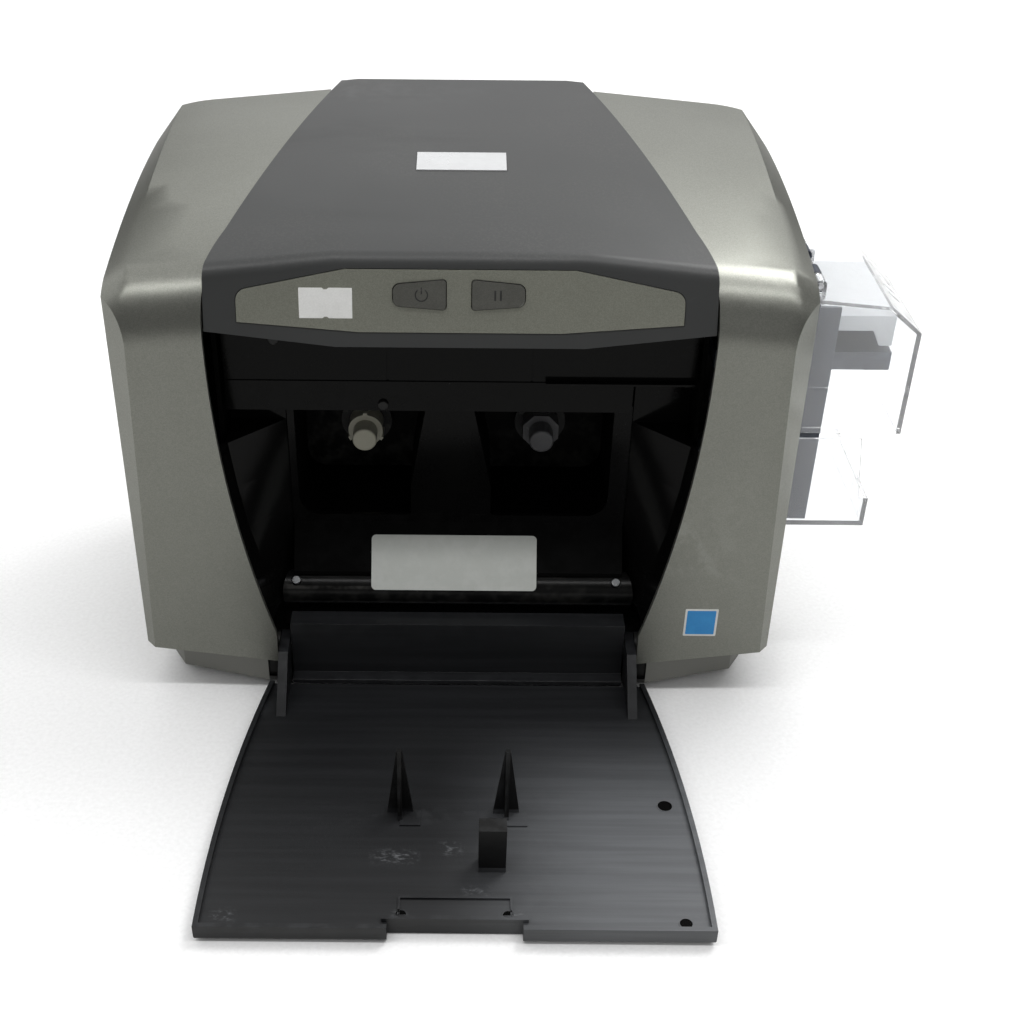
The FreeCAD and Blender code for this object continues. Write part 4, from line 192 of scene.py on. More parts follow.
class EffectSketch(ShaderSketch):
    """A shared effect, built as one node group. Each effect has a method of its own name for its steps."""

    def __init__(self, effect: Effect) -> None:
        """Build the group with its inputs, its steps and its outputs."""
        name, inputs = effect.value
        super().__init__(bpy.data.node_groups.new(name, "ShaderNodeTree"))
        for label, value in inputs.items():
            kind = "NodeSocketVector" if isinstance(value, tuple) else "NodeSocketFloat"
            self.tree.interface.new_socket(label, in_out="INPUT", socket_type=kind).default_value = value
        self.given = self.node("NodeGroupInput").outputs
        made = getattr(self, name)()
        for label in made:
            self.tree.interface.new_socket(label, in_out="OUTPUT", socket_type="NodeSocketFloat")
        self.node("NodeGroupOutput", made)

    def moulded_grain(self) -> Outputs:
        """Make the fine pebbled texture of a moulding tool."""
        soft = self.noise(self.here(), self.given["Scale"], 1, 0.6)
        return {"Height": soft, "Tone": soft}

    def cloudy_marks(self) -> Outputs:
        """Make the broad soft patches where a surface is a little lighter or duller."""
        broad = self.noise(self.here(), self.given["Scale"], 2, 0.6, 0.4)
        low, high = (self.math(step, CLOUD_MIDDLE, self.given["Edge"]) for step in ("SUBTRACT", "ADD"))
        return {"Mask": self.window(broad, low, high)}

    def settled_dust(self) -> Outputs:
        """Make the dust that lies on what faces up."""
        facing = self.node("ShaderNodeSeparateXYZ", {0: self.node("ShaderNodeTexCoord").outputs["Normal"]})
        up = self.window(facing.outputs["Z"], 0.2, 0.95)
        specks = self.spots(self.given["Scale"], 0.42, 0.72, 2, 0.75)
        return {"Mask": self.times(up, self.times(specks, self.spots(16.0, 0.3, 0.75)))}

    def rubbed_edges(self) -> Outputs:
        """Make the pale line that handling leaves along edges."""
        ridge = self.window(self.node("ShaderNodeNewGeometry").outputs["Pointiness"], 0.51, 0.6)
        return {"Mask": self.times(ridge, self.spots(self.given["Scale"], 0.4, 0.65, 2, 0.7))}

    def metal_flake(self) -> Outputs:
        """Make the glitter of a metallic paint."""
        inputs = {"Vector": self.here(), "Scale": self.given["Scale"]}
        cells = self.node("ShaderNodeTexVoronoi", inputs, feature="F1")
        shade = self.node("ShaderNodeSeparateColor", {0: cells.outputs["Color"]})
        return {"Tone": shade.outputs[0], "Height": shade.outputs[1]}

    def flow_lines(self) -> Outputs:
        """Make the long fine lines of brushed metal or of plastic that flowed one way."""
        shaped = self.node("ShaderNodeMapping", {"Vector": self.here(), "Scale": self.given["Stretch"]})
        lines = self.noise(shaped.outputs[0], self.given["Scale"], 3, 0.65)
        return {"Height": lines, "Tone": self.window(lines, 0.35, 0.68)}

    def fine_scratches(self) -> Outputs:
        """Make short hair scratches in two directions."""
        crossing = []
        for turn, stretch in ((24, (0.05, 1, 0.4)), (-52, (0.07, 1, 0.5))):
            hair = self.noise(self.here(stretch, turn), self.given["Scale"], 4, 0.8)
            crossing.append(self.window(hair, 0.655, 0.7))
        return {"Mask": self.times(self.math("MAXIMUM", *crossing), self.spots(30.0, 0.45, 0.65))}

    def wiped_smears(self) -> Outputs:
        """Make the dull streaks that a cloth and fingers leave."""
        streak = self.noise(self.here((0.35, 1, 0.8), 32), self.given["Scale"], 3, 0.7, 0.5)
        return {"Mask": self.times(self.window(streak, 0.46, 0.7), self.spots(9.0, 0.4, 0.65))}

    def span_mask(self) -> Outputs:
        """Make the mask of what lies between two corners of a box."""
        parts = [self.node("ShaderNodeSeparateXYZ", {0: source}).outputs
                 for source in (self.here(), self.given["Low"], self.given["High"])]
        inside = None
        for axis in "XYZ":
            at, low, high = (part[axis] for part in parts)
            above = self.window(at, low, self.math("ADD", low, self.given["Soft"]))
            below = self.window(at, high, self.math("SUBTRACT", high, self.given["Soft"]))
            both = self.times(above, below)
            inside = both if inside is None else self.times(inside, both)
        return {"Mask": inside}


class MaterialSketch(ShaderSketch):
    """A material while it is being mixed, with its shader and the layers laid so far."""

    def __init__(self, name: str) -> None:
        """Make the material with its plain shader."""
        self.material = bpy.data.materials.new(name)
        self.material.use_nodes = True
        super().__init__(self.material.node_tree)
        self.shader = self.find("BSDF_PRINCIPLED")

    def effect(self, effect: Effect, output: str = "Mask", **inputs: object) -> Socket:
        """Return an output of a shared effect, which takes values by its inputs' names in small letters."""
        if effect not in SHELF:
            SHELF[effect] = EffectSketch(effect).tree
        made = self.node("ShaderNodeGroup", node_tree=SHELF[effect])
        for name, value in inputs.items():
            self.feed(made.inputs[name.capitalize()], value)
        return made.outputs[output]

    def surface(self, **values: object) -> None:
        """Set or link the shader's inputs, each by its name with low lines for its spaces."""
        for name, value in values.items():
            self.feed(self.shader.inputs[name.replace("_", " ")], value)

    def span(self, low: Triple, high: Triple, soft: float = 0.2) -> Socket:
        """Return the mask of a box on the printer, with a soft edge, all in millimetres."""
        return self.effect(Effect.SPAN, low=spot(*low), high=spot(*high), soft=soft * MM)

    def shaded(self, colour: Socket, tone: Socket, reach: float, least: float) -> Socket:
        """Multiply a colour by greys that go from least up by reach with a tone."""
        shade = self.math("ADD", self.times(tone, reach), least)
        grey = self.node("ShaderNodeCombineColor", {0: shade, 1: shade, 2: shade}).outputs[0]
        return self.mix(1.0, colour, grey, "MULTIPLY")

    def relief(self, layers: Sequence[tuple[Socket, float]]) -> None:
        """Lay bumps over each other, each a height with its depth in micrometres."""
        normal = None
        for height, depth in layers:
            inputs = {"Height": height, "Distance": depth * MICRON, "Strength": 1.0}
            if normal is not None:
                inputs["Normal"] = normal
            normal = self.node("ShaderNodeBump", inputs).outputs[0]
        self.surface(Normal=normal)


@dataclass(frozen=True)
class Finish:
    """A moulded plastic finish with grain, soft patches, dust and worn edges. Depths are in micrometres."""

    name: str
    colour: Colour
    tone: Colour
    rough: float = 0.45
    rough_spread: float = 0.1
    metallic: float = 0.0
    specular: float = 0.5
    clouds: float = 0.5
    cloud_scale: float = 14.0
    grain_scale: float = 2600.0
    grain_depth: float = 40.0
    grain_tone: Point = (0.16, 0.92)
    dust: float = 0.15
    dust_colour: Colour = (178, 174, 165)
    wear: float = 0.25
    wear_colour: Colour = (165, 163, 158)
    scratches: float = 0.1
    dust_rough: float = 0.5

    def build(self) -> Material:
        """Mix the material from its layers."""
        sketch = MaterialSketch(self.name)
        colour = self.body_colour(sketch)
        for effect, amount, over in ((Effect.SCRATCH, self.scratches, self.wear_colour),
                                     (Effect.WEAR, self.wear, self.wear_colour),
                                     (Effect.DUST, self.dust, self.dust_colour)):
            laid = sketch.times(sketch.effect(effect), amount)
            colour = sketch.mix(laid, colour, over)
        rough = sketch.between(sketch.effect(Effect.SMEAR), self.rough, self.rough + self.rough_spread)
        rough = sketch.math("ADD", rough, sketch.times(laid, self.dust_rough))
        sketch.surface(Base_Color=colour, Roughness=rough, Metallic=self.metallic,
                       Specular_IOR_Level=self.specular)
        sketch.relief(self.layers(sketch))
        self.complete(sketch)
        return sketch.material

    def body_colour(self, sketch: MaterialSketch) -> Socket:
        """Return the plastic's own colour with its soft patches."""
        cloud = sketch.effect(Effect.CLOUD, scale=self.cloud_scale)
        tone = sketch.mix(sketch.times(cloud, self.clouds), self.colour, self.tone)
        grain = sketch.effect(Effect.GRAIN, "Tone", scale=self.grain_scale)
        return sketch.shaded(tone, grain, *self.grain_tone)

    def layers(self, sketch: MaterialSketch) -> list[tuple[Socket, float]]:
        """Return the heights that make up the relief."""
        return [(sketch.effect(Effect.GRAIN, "Height", scale=self.grain_scale), self.grain_depth)]

    def complete(self, sketch: MaterialSketch) -> None:
        """Set what only some finishes have."""


@dataclass(frozen=True)
class MetallicPaint(Finish):
    """Plastic with a fine metal flake in it."""

    grain_depth: float = 6.0
    flake: float = 0.12
    flake_scale: float = 3200.0
    flake_depth: float = 8.0

    def body_colour(self, sketch: MaterialSketch) -> Socket:
        """Return the plastic's colour with light and dark flakes."""
        flake = sketch.effect(Effect.FLAKE, "Tone", scale=self.flake_scale)
        return sketch.shaded(super().body_colour(sketch), flake, 2 * self.flake, 1 - self.flake)

    def layers(self, sketch: MaterialSketch) -> list[tuple[Socket, float]]:
        """Return the grain with the flakes' small steps over it."""
        flake = sketch.effect(Effect.FLAKE, "Height", scale=self.flake_scale)
        return super().layers(sketch) + [(flake, self.flake_depth)]


@dataclass(frozen=True)
class FlowPlastic(Finish):
    """Plastic or metal with long fine lines along one direction."""

    stretch: Triple = (0.03, 1, 1)
    line_scale: float = 260.0
    line_share: float = 0.5
    line_colour: Colour = (74, 76, 79)
    line_depth: float = 60.0

    def body_colour(self, sketch: MaterialSketch) -> Socket:
        """Return the colour with paler lines."""
        share = sketch.times(self.lines(sketch, "Tone"), self.line_share)
        return sketch.mix(share, super().body_colour(sketch), self.line_colour)

    def lines(self, sketch: MaterialSketch, output: str) -> Socket:
        """Return the tone or the height of the lines."""
        return sketch.effect(Effect.FLOW, output, scale=self.line_scale, stretch=self.stretch)

    def layers(self, sketch: MaterialSketch) -> list[tuple[Socket, float]]:
        """Return the grain with the lines over it."""
        return super().layers(sketch) + [(self.lines(sketch, "Height"), self.line_depth)]


@dataclass(frozen=True)
class ScuffedDoorWithPaintedSheen(FlowPlastic):
    """The door's plastic, with lines across it, pale scuffs by the posts and at the tab, where they also
    paint the tab's highlight, and a painted sheen over its right part.
    """

    scuffs_and_highlights: tuple[tuple[float, float, float, float], ...] = ()
    # Pale scuffs; those at the tab also paint the highlight of its raised face.
    scuff_and_highlight_colour: Colour = (128, 130, 133)
    scuff_and_highlight_height: float = 30.0
    scuff_and_highlight_stretch: Triple = (0.5, 1, 1)
    scuff_and_highlight_turn: float = 18.0
    scuff_and_highlight_scale: float = 420.0
    scuff_and_highlight_window: Triple = (0.46, 0.7, 0.5)
    # Painted sheen: a paler colour over the door's right part stands in for a lamp's broad reflection there.
    painted_sheen_colour: Colour = (96, 98, 101)
    painted_sheen_low: Triple = (-15, -400, -400)
    painted_sheen_high: Triple = (400, -15, 400)
    painted_sheen_soft: float = 85.0
    painted_sheen_least: float = 0.78
    post_colour: Colour = (8, 8, 8)
    post_low: Triple = (-40, -140, 9.5)
    post_high: Triple = (40, -70, 60)

    def body_colour(self, sketch: MaterialSketch) -> Socket:
        """Return the lined colour with the painted sheen, the scuffs with the tab's painted highlight and the
        dark posts over it.
        """
        colour = super().body_colour(sketch)
        # Pale scuff patches, which at the tab also paint its highlight.
        for x, y, half_x, half_y in self.scuffs_and_highlights:
            box = (x - half_x, y - half_y, 0.0), (x + half_x, y + half_y, self.scuff_and_highlight_height)
            patch = sketch.span(*box, min(half_x, half_y))
            at = sketch.here(self.scuff_and_highlight_stretch, self.scuff_and_highlight_turn)
            scuffed_and_lit = sketch.noise(at, self.scuff_and_highlight_scale, 3, 0.75)
            scuffed_and_lit = sketch.times(patch, sketch.window(scuffed_and_lit, *self.scuff_and_highlight_window))
            colour = sketch.mix(scuffed_and_lit, colour, self.scuff_and_highlight_colour)
        # Painted sheen over the door's right part, broken up by the lines.
        painted_sheen = sketch.span(self.painted_sheen_low, self.painted_sheen_high, self.painted_sheen_soft)
        painted_sheen = sketch.times(painted_sheen, sketch.between(self.lines(sketch, "Tone"), self.painted_sheen_least, 1.0))
        colour = sketch.mix(painted_sheen, colour, self.painted_sheen_colour)
        return sketch.mix(sketch.span(self.post_low, self.post_high), colour, self.post_colour)


@dataclass(frozen=True)
class TwoPart(Finish):
    """A finish whose material changes inside a box, such as a rubber sleeve on a steel shaft."""

    inner_colour: Colour = (30, 30, 31)
    low: Triple = (-1, -1, -1)
    high: Triple = (1, 1, 1)
    inner_rough: float = 0.75
    outer_metallic: float = 1.0
    inner_metallic: float = 0.0
    soft: float = 0.0001

    def span(self, sketch: MaterialSketch) -> Socket:
        """Return the mask of the inner part."""
        return sketch.effect(Effect.SPAN, low=self.low, high=self.high, soft=self.soft)

    def body_colour(self, sketch: MaterialSketch) -> Socket:
        """Return the outer colour with the inner one in the box."""
        return sketch.mix(self.span(sketch), super().body_colour(sketch), self.inner_colour)

    def complete(self, sketch: MaterialSketch) -> None:
        """Change the roughness and the metal with the same mask."""
        span = self.span(sketch)
        outer = sketch.shader.inputs["Roughness"].links[0].from_socket
        sketch.surface(Roughness=sketch.between(span, outer, self.inner_rough))
        if self.outer_metallic != self.inner_metallic:
            sketch.surface(Metallic=sketch.between(span, self.outer_metallic, self.inner_metallic))


@dataclass(frozen=True)
class ClearPlastic:
    """Clear moulded plastic with a faint grey body and wiped marks."""

    name: str
    colour: Colour = (250, 251, 252)
    rough: float = 0.04
    ior: float = 1.3
    clearness: float = 0.88
    mark_colour: Colour = (205, 208, 210)
    mark_share: float = 0.12
    mark_rough: float = 0.14
    wave_depth: float = 60.0
    wave_scale: float = 60.0
    smear_scale: float = 40.0
    scratch_scale: float = 80.0

    def build(self) -> Material:
        """Mix the material from its body and its marks."""
        sketch = MaterialSketch(self.name)
        smear = sketch.effect(Effect.SMEAR, scale=self.smear_scale)
        marks = sketch.math("MAXIMUM", smear, sketch.effect(Effect.SCRATCH, scale=self.scratch_scale))
        colour = sketch.mix(sketch.times(marks, self.mark_share), self.colour, self.mark_colour)
        rough = sketch.between(marks, self.rough, self.rough + self.mark_rough)
        sketch.surface(Base_Color=colour, Roughness=rough, Transmission_Weight=self.clearness, IOR=self.ior)
        sketch.relief([(sketch.effect(Effect.CLOUD, scale=self.wave_scale), self.wave_depth)])
        return sketch.material


def corner(node: str, which: int, shift: Triple) -> Triple:
    """Return the lowest or the highest corner of a node's box, grown a little and shifted by millimetres."""
    grow = BOX_GROWTH if which else -BOX_GROWTH
    return tuple(c + (s + grow) * MM for c, s in zip(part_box(node)[which], shift))


SPINDLE = {
    "cloud_scale": 80, "dust": 0.02, "scratches": 0.04, "inner_colour": (14, 14, 14), "inner_rough": 0.5,
    "outer_metallic": 0, "low": spot(-150, 83.5, 0), "high": spot(150, 112, 250)}
BOARD_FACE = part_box("main_board")[1].y - BOARD_THICKNESS * MM
# Where the bulkhead's painted shade ends and its steel rear skin begins.
BULKHEAD_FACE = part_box("rear_bulkhead")[1].y - BULKHEAD_SKIN * MM
SLEEVE_NEAR, SLEEVE_FAR = (place(0.0, y, 0.0).y for y in SLEEVE_ENDS)
FINISHES: tuple[Finish | ClearPlastic, ...] = (
    MetallicPaint("warm_grey_shell", (136, 137, 130), (128, 129, 122), rough=0.33, rough_spread=0.03,
        metallic=0.75, clouds=0.4, cloud_scale=16, dust=0.03, wear=0.15,
        wear_colour=(196, 197, 190), scratches=0.04),
    MetallicPaint("panel_grey", (146, 147, 136), (137, 138, 128), rough=0.38, rough_spread=0.03,
        metallic=0.6, clouds=0.3, cloud_scale=30, dust=0.04, wear=0.3,
        wear_colour=(170, 170, 162), scratches=0.04),
    MetallicPaint("key_grey", (98, 98, 93), (90, 90, 85), rough=0.36, metallic=0.5, clouds=0.3,
        cloud_scale=60, dust=0.04, wear=0.6, wear_colour=(162, 162, 156), scratches=0.04),
    Finish("charcoal_cover", (54, 55, 55), (61, 62, 62), rough=0.4, rough_spread=0.05, specular=0.45,
        cloud_scale=11, grain_depth=20, dust=0.05, wear=0.2, wear_colour=(96, 97, 98), scratches=0.05),
    Finish("black_cavity", (9, 9, 9), (13, 13, 13), rough=0.13, rough_spread=0.05, clouds=0.4,
        cloud_scale=20, grain_scale=3200, grain_depth=6, dust=0.003, wear=0.04,
        wear_colour=(70, 70, 71), scratches=0.02, specular=0.1),
    Finish("matt_black", (5, 5, 5), (7, 7, 7), rough=0.75, clouds=0.4, cloud_scale=20, dust=0.002,
        wear=0.02, wear_colour=(50, 50, 50), scratches=0.01, specular=0.06),
    FlowPlastic("black_bar", (9, 9, 9), (12, 12, 12), rough=0.3, specular=0.2, stretch=(0.05, 1, 1),
        line_share=0.1, line_colour=(30, 30, 31), line_depth=4, grain_depth=4, dust=0.01, wear=0.1,
        scratches=0.03),
    # The door: its scuffs at the tab also paint a highlight, and a painted sheen lies over its right part.
    ScuffedDoorWithPaintedSheen("door_charcoal", (24, 25, 27), (30, 31, 33), rough=0.4, rough_spread=0.02, clouds=0.4,
        cloud_scale=9, line_share=0.18, line_colour=(52, 53, 56), line_depth=10, dust=0.003, wear=0.1,
        wear_colour=(96, 98, 101), scratches=0.06, scuffs_and_highlights=((-26, -117, 12, 6),
        (-2, -112, 7, 6), (9, -136, 8, 4), (-23, -149.5, 5, 4),
        (25, -149.5, 6, 5), (95, -151, 8, 5), (-94, -150, 7, 5))),
    # The base pan's middle front, between the door's hinge ears, is painted near-black as painted shade at
    # the cavity's foot.
    TwoPart("base_grey", (126, 126, 121), (116, 116, 111), rough=0.5, clouds=0.4, wear=0.2, dust=0.04,
        wear_colour=(170, 170, 166), scratches=0.03, inner_colour=(8, 8, 8), low=spot(-92.6, -5, 0),
        high=spot(92.6, 30, 40), inner_rough=0.4, outer_metallic=0),
    TwoPart("beige_spindle", (186, 184, 168), (172, 170, 154), rough=0.4, wear=0.3,
        wear_colour=(220, 218, 204), **SPINDLE),
    TwoPart("grey_spindle", (84, 84, 86), (72, 72, 74), rough=0.3, wear=0.4,
        wear_colour=(150, 150, 152), **SPINDLE),
    TwoPart("screw_steel", (96, 97, 98), (84, 85, 87), rough=0.38, cloud_scale=200, dust=0,
        grain_depth=3, scratches=0.04, inner_colour=(7, 7, 7), low=spot(-100, 0, 120),
        high=spot(100, 60, 200), inner_rough=0.5),
    # The bulkhead keeps its sheet metal only in its thin rear skin; all in front of that is painted
    # near-black as painted shade for the dark inside behind the windows.
    TwoPart("bulkhead_sheet", (168, 172, 176), (146, 150, 154), rough=0.36, cloud_scale=60, dust=0.02,
        grain_depth=6, scratches=0.04, wear=0.05, specular=0.15, inner_colour=(6, 6, 6),
        high=(1, BULKHEAD_FACE, 1), inner_rough=0.7),
    Finish("white_gear", (226, 223, 210), (212, 208, 192), rough=0.38, cloud_scale=90, dust=0.25,
        wear=0.3, wear_colour=(188, 184, 168)),
    Finish("navy_hopper", (44, 50, 62), (52, 58, 71), rough=0.4, clouds=0.4, cloud_scale=24, wear=0.4,
        dust=0.03, wear_colour=(104, 110, 124), scratches=0.05),
    Finish("pale_grey_cap", (206, 208, 210), (192, 195, 198), rough=0.4, cloud_scale=30, wear=0.3,
        wear_colour=(232, 233, 234)),
    ClearPlastic("clear_hopper"),
    Finish("foot_rubber", (32, 32, 33), (42, 42, 43), rough=0.82, grain_depth=60, dust=0.4, wear=0.3,
        wear_colour=(84, 84, 85)),
    FlowPlastic("belt_rubber", (28, 28, 29), (36, 36, 37), rough=0.78, stretch=(1, 0.04, 1),
        line_scale=1800, line_share=0.3, line_colour=(50, 50, 51), line_depth=80),
    FlowPlastic("zinc_sheet", (168, 172, 176), (146, 150, 154), rough=0.34, rough_spread=0.16, metallic=0.9,
        cloud_scale=60, line_share=0.25, line_colour=(192, 195, 198), stretch=(0.06, 1, 0.3),
        grain_depth=10, line_depth=10, wear_colour=(215, 217, 219)),
    FlowPlastic("bright_steel", (196, 197, 199), (172, 173, 176), rough=0.2, metallic=1,
        cloud_scale=200, line_share=0.2, line_colour=(222, 223, 225), stretch=(1, 0.05, 1),
        grain_depth=4, line_depth=4, dust=0.05),
    FlowPlastic("motor_can", (150, 152, 155), (128, 130, 133), rough=0.3, metallic=0.9, cloud_scale=90,
        line_share=0.3, line_colour=(180, 182, 185), stretch=(1, 0.04, 1), grain_depth=6,
        line_depth=8),
    TwoPart("print_head_two_part", (188, 190, 192), (170, 172, 175), rough=0.34, inner_colour=(54, 46, 40),
        low=corner("print_head", 0, (0, 0, 0)), high=corner("print_head", 1, (0, 0, -10)),
        inner_rough=0.3, outer_metallic=0.85),
    TwoPart("shaft_and_sleeve", (190, 191, 193), (168, 170, 172), rough=0.24, inner_colour=(44, 44, 46),
        low=(-1, SLEEVE_NEAR, -1), high=(1, SLEEVE_FAR, 1), inner_rough=0.78, dust=0.05),
    TwoPart("green_board", (34, 92, 58), (28, 78, 50), rough=0.34, cloud_scale=120,
        inner_colour=(26, 26, 28), high=(1, BOARD_FACE, 1), inner_rough=0.5, outer_metallic=0),
    Finish("socket_black", (24, 24, 25), (32, 32, 33), rough=0.38, cloud_scale=120, wear=0.4,
        wear_colour=(96, 96, 97)),
    FlowPlastic("silver_plate", (206, 207, 208), (197, 198, 200), rough=0.24, metallic=0.35, clouds=0.2,
        cloud_scale=70, line_share=0.3, line_colour=(216, 217, 218), stretch=(0.04, 1, 1),
        grain_depth=3, line_depth=4, dust=0, wear=0.1, scratches=0.03),
    FlowPlastic("label_film", (192, 195, 190), (184, 187, 182), rough=0.4, metallic=0.1, clouds=0.3,
        cloud_scale=45, line_share=0.2, line_colour=(196, 199, 194), stretch=(0.1, 1, 1),
        grain_depth=6, line_depth=5, dust=0.02, wear=0.2, wear_colour=(216, 217, 214), scratches=0.03),
    Finish("note_paper", (228, 228, 226), (216, 216, 213), rough=0.62, cloud_scale=90, grain_scale=1500,
        grain_depth=20, dust=0.05, wear=0),
    Finish("blue_sticker", (38, 138, 206), (48, 150, 214), rough=0.34, cloud_scale=140, grain_depth=6,
        dust=0.05, wear=0),
    Finish("symbol_ink", (36, 36, 35), (46, 46, 45), rough=0.5, cloud_scale=200, grain_depth=10,
        dust=0.05, wear=0.2))


class EdgeWork:
    """The fine rounding that a mould leaves on edges, laid over the CAD nodes as modifiers."""

    smooth_below: float = math.radians(32.0)
    round_above: float = math.radians(35.0)
    weld_reach: float = 0.002 * MM

    def __init__(self) -> None:
        """Build the smoothing step once."""
        self.smoothing = self.build_smoothing()

    @staticmethod
    def build_smoothing() -> bpy.types.NodeTree:
        """Build the step that shades curves smooth and keeps sharp corners."""
        tree = bpy.data.node_groups.new("smooth_curves", "GeometryNodeTree")
        tree.interface.new_socket("Geometry", in_out="INPUT", socket_type="NodeSocketGeometry")
        tree.interface.new_socket("Geometry", in_out="OUTPUT", socket_type="NodeSocketGeometry")
        sketch = ShaderSketch(tree)
        given = sketch.node("NodeGroupInput")
        plain = sketch.node("GeometryNodeSetMeshNormal", {"Mesh": given.outputs[0], "Remove Custom": True},
                            mode="SHARPNESS")
        faces = sketch.node("GeometryNodeSetShadeSmooth", {"Geometry": plain.outputs[0]}, domain="FACE")
        angle = sketch.node("GeometryNodeInputMeshEdgeAngle").outputs[0]
        gentle = sketch.node("FunctionNodeCompare", {0: angle, 1: EdgeWork.smooth_below}, data_type="FLOAT",
                             operation="LESS_THAN")
        edges = sketch.node("GeometryNodeSetShadeSmooth",
                            {"Geometry": faces.outputs[0], "Shade Smooth": gentle.outputs[0]}, domain="EDGE")
        sketch.node("NodeGroupOutput", {0: edges.outputs[0]})
        return tree

    def lay(self, node: str, width: float) -> None:
        """Weld a node's faces, smooth it and round its edges by a width in millimetres, if there is one."""
        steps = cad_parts[node].modifiers
        adjust(steps.new("weld", "WELD"), merge_threshold=self.weld_reach)
        adjust(steps.new("smooth", "NODES"), node_group=self.smoothing)
        if width:
            adjust(steps.new("edge", "BEVEL"), width=width * MM, segments=BEVEL_STEPS, limit_method="ANGLE",
                   angle_limit=self.round_above, use_clamp_overlap=True, harden_normals=True,
                   miter_outer="MITER_ARC")


@dataclass
class ThinPiece:
    """A sticker, a symbol or another thin shape that lies on a node."""

    name: str
    node: str
    body: str
    direction: Vector
    thickness: float = 0.12
    lift: float = 0.0
    start_back: float = 20.0
    edge_share: float = 0.3
    ring_shares: tuple[float, ...] = (1.0, 0.96, 0.7, 0.35)

    def patch(self, middle: Vector, outline: Sequence[Vector]) -> Piece:
        """Lay a filled outline on the node, ring by ring to its middle."""
        points = [middle.lerp(point, share) for share in self.ring_shares for point in outline] + [middle]
        count, faces = len(outline), []
        last = len(points) - 1 - count
        for first in range(0, last, count):
            second = first + count
            for index in range(count):
                after = (index + 1) % count
                faces.append((first + index, first + after, second + after, second + index))
        faces += [(last + index, last + (index + 1) % count, len(points) - 1) for index in range(count)]
        return self.finish(points, faces)

    def stroke(self, path: Sequence[Vector], width: float, closed: bool = False) -> Piece:
        """Lay a line on the node along a path, with its width in millimetres."""
        points, count = [], len(path)
        for index, point in enumerate(path):
            before = path[index - 1] if index or closed else point
            after = path[(index + 1) % count] if index < count - 1 or closed else point
            side = (after - before).cross(self.direction).normalized() * width * MM / 2
            points += [point + side, point, point - side]
        faces = []
        for index in range(count if closed else count - 1):
            first, second = 3 * index, 3 * ((index + 1) % count)
            faces += [(first + k, second + k, second + k + 1, first + k + 1) for k in (0, 1)]
        return self.finish(points, faces)

    def finish(self, points: Sequence[Vector], faces: Sequence[Sequence[int]]) -> Piece:
        """Drop the points on the node, give the piece its faces and thickness and let it ride."""
        mesh = bpy.data.meshes.new(self.name)
        mesh.from_pydata(self.drop(points), [], faces)
        shape = bmesh.new()
        shape.from_mesh(mesh)
        bmesh.ops.recalc_face_normals(shape, faces=shape.faces)
        if sum(face.normal.dot(self.direction) for face in shape.faces) > 0:
            bmesh.ops.reverse_faces(shape, faces=shape.faces)
        shape.to_mesh(mesh)
        shape.free()
        mesh.shade_smooth()
        piece = show(self.name, mesh)
        depth = self.thickness * MM
        adjust(piece.modifiers.new("thickness", "SOLIDIFY"), thickness=depth, offset=-1)
        adjust(piece.modifiers.new("edge", "BEVEL"), width=depth * self.edge_share, segments=BEVEL_STEPS,
               limit_method="ANGLE")
        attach(piece, self.body)
        return piece

    def drop(self, points: Sequence[Vector]) -> list[Vector]:
        """Let points fall on the node and lift them off it by the piece's thickness."""
        skin, fall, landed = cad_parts[self.node].data, self.direction.normalized(), []
        faces = BVHTree.FromPolygons([v.co for v in skin.vertices], [p.vertices for p in skin.polygons])
        for point in points:
            hit, normal, _, _ = faces.ray_cast(point - fall * self.start_back * MM, fall)
            if hit is None:
                raise ValueError(f"{self.name} misses its node")
            out = normal if normal.dot(fall) < 0 else -normal
            landed.append(hit + out * (self.lift + self.thickness) * MM)
        return landed


def rounded_outline(width: float, height: float, radius: float, steps: int = 5) -> list[Point]:
    """Return a rectangle's outline about its middle, anticlockwise, with steps round each corner."""
    points = []
    for turn, (x, y) in enumerate(((1, 1), (-1, 1), (-1, -1), (1, -1))):
        for step in range(steps + 1):
            angle = math.radians(90 * turn + 90 * step / steps)
            points.append((x * (width / 2 - radius) + radius * math.cos(angle),
                           y * (height / 2 - radius) + radius * math.sin(angle)))
    return points


def arc_points(radius: float, first: float, last: float, steps: int) -> list[Point]:
    """Return points along an arc about the origin, from the first to the last angle in degrees."""
    angles = [math.radians(first + (last - first) * step / steps) for step in range(steps + 1)]
    return [(radius * math.cos(a), radius * math.sin(a)) for a in angles]


@dataclass
class Assembly:
    """A group of CAD nodes and thin pieces that are dressed together."""

    finishes: dict[str, Material]
    edges: EdgeWork
    dressing: Dressing = ()

    def build(self) -> None:
        """Give the nodes their finishes and fine edges, then lay the thin pieces."""
        for finish, width, nodes in self.dressing:
            for node in nodes.split():
                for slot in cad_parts[node].material_slots:
                    slot.material = self.finishes[finish]
                self.edges.lay(node, width)
                LOG.info("dressed %s", node)
        self.lay()

    def lay(self) -> None:
        """Lay the group's thin pieces, if it has any."""

    def paint(self, piece: Piece, finish: str, slot: str) -> None:
        """Give a thin piece its finish; the slot it goes with is not used."""
        piece.data.materials.append(self.finishes[finish])
        LOG.info("laid %s", piece.name)


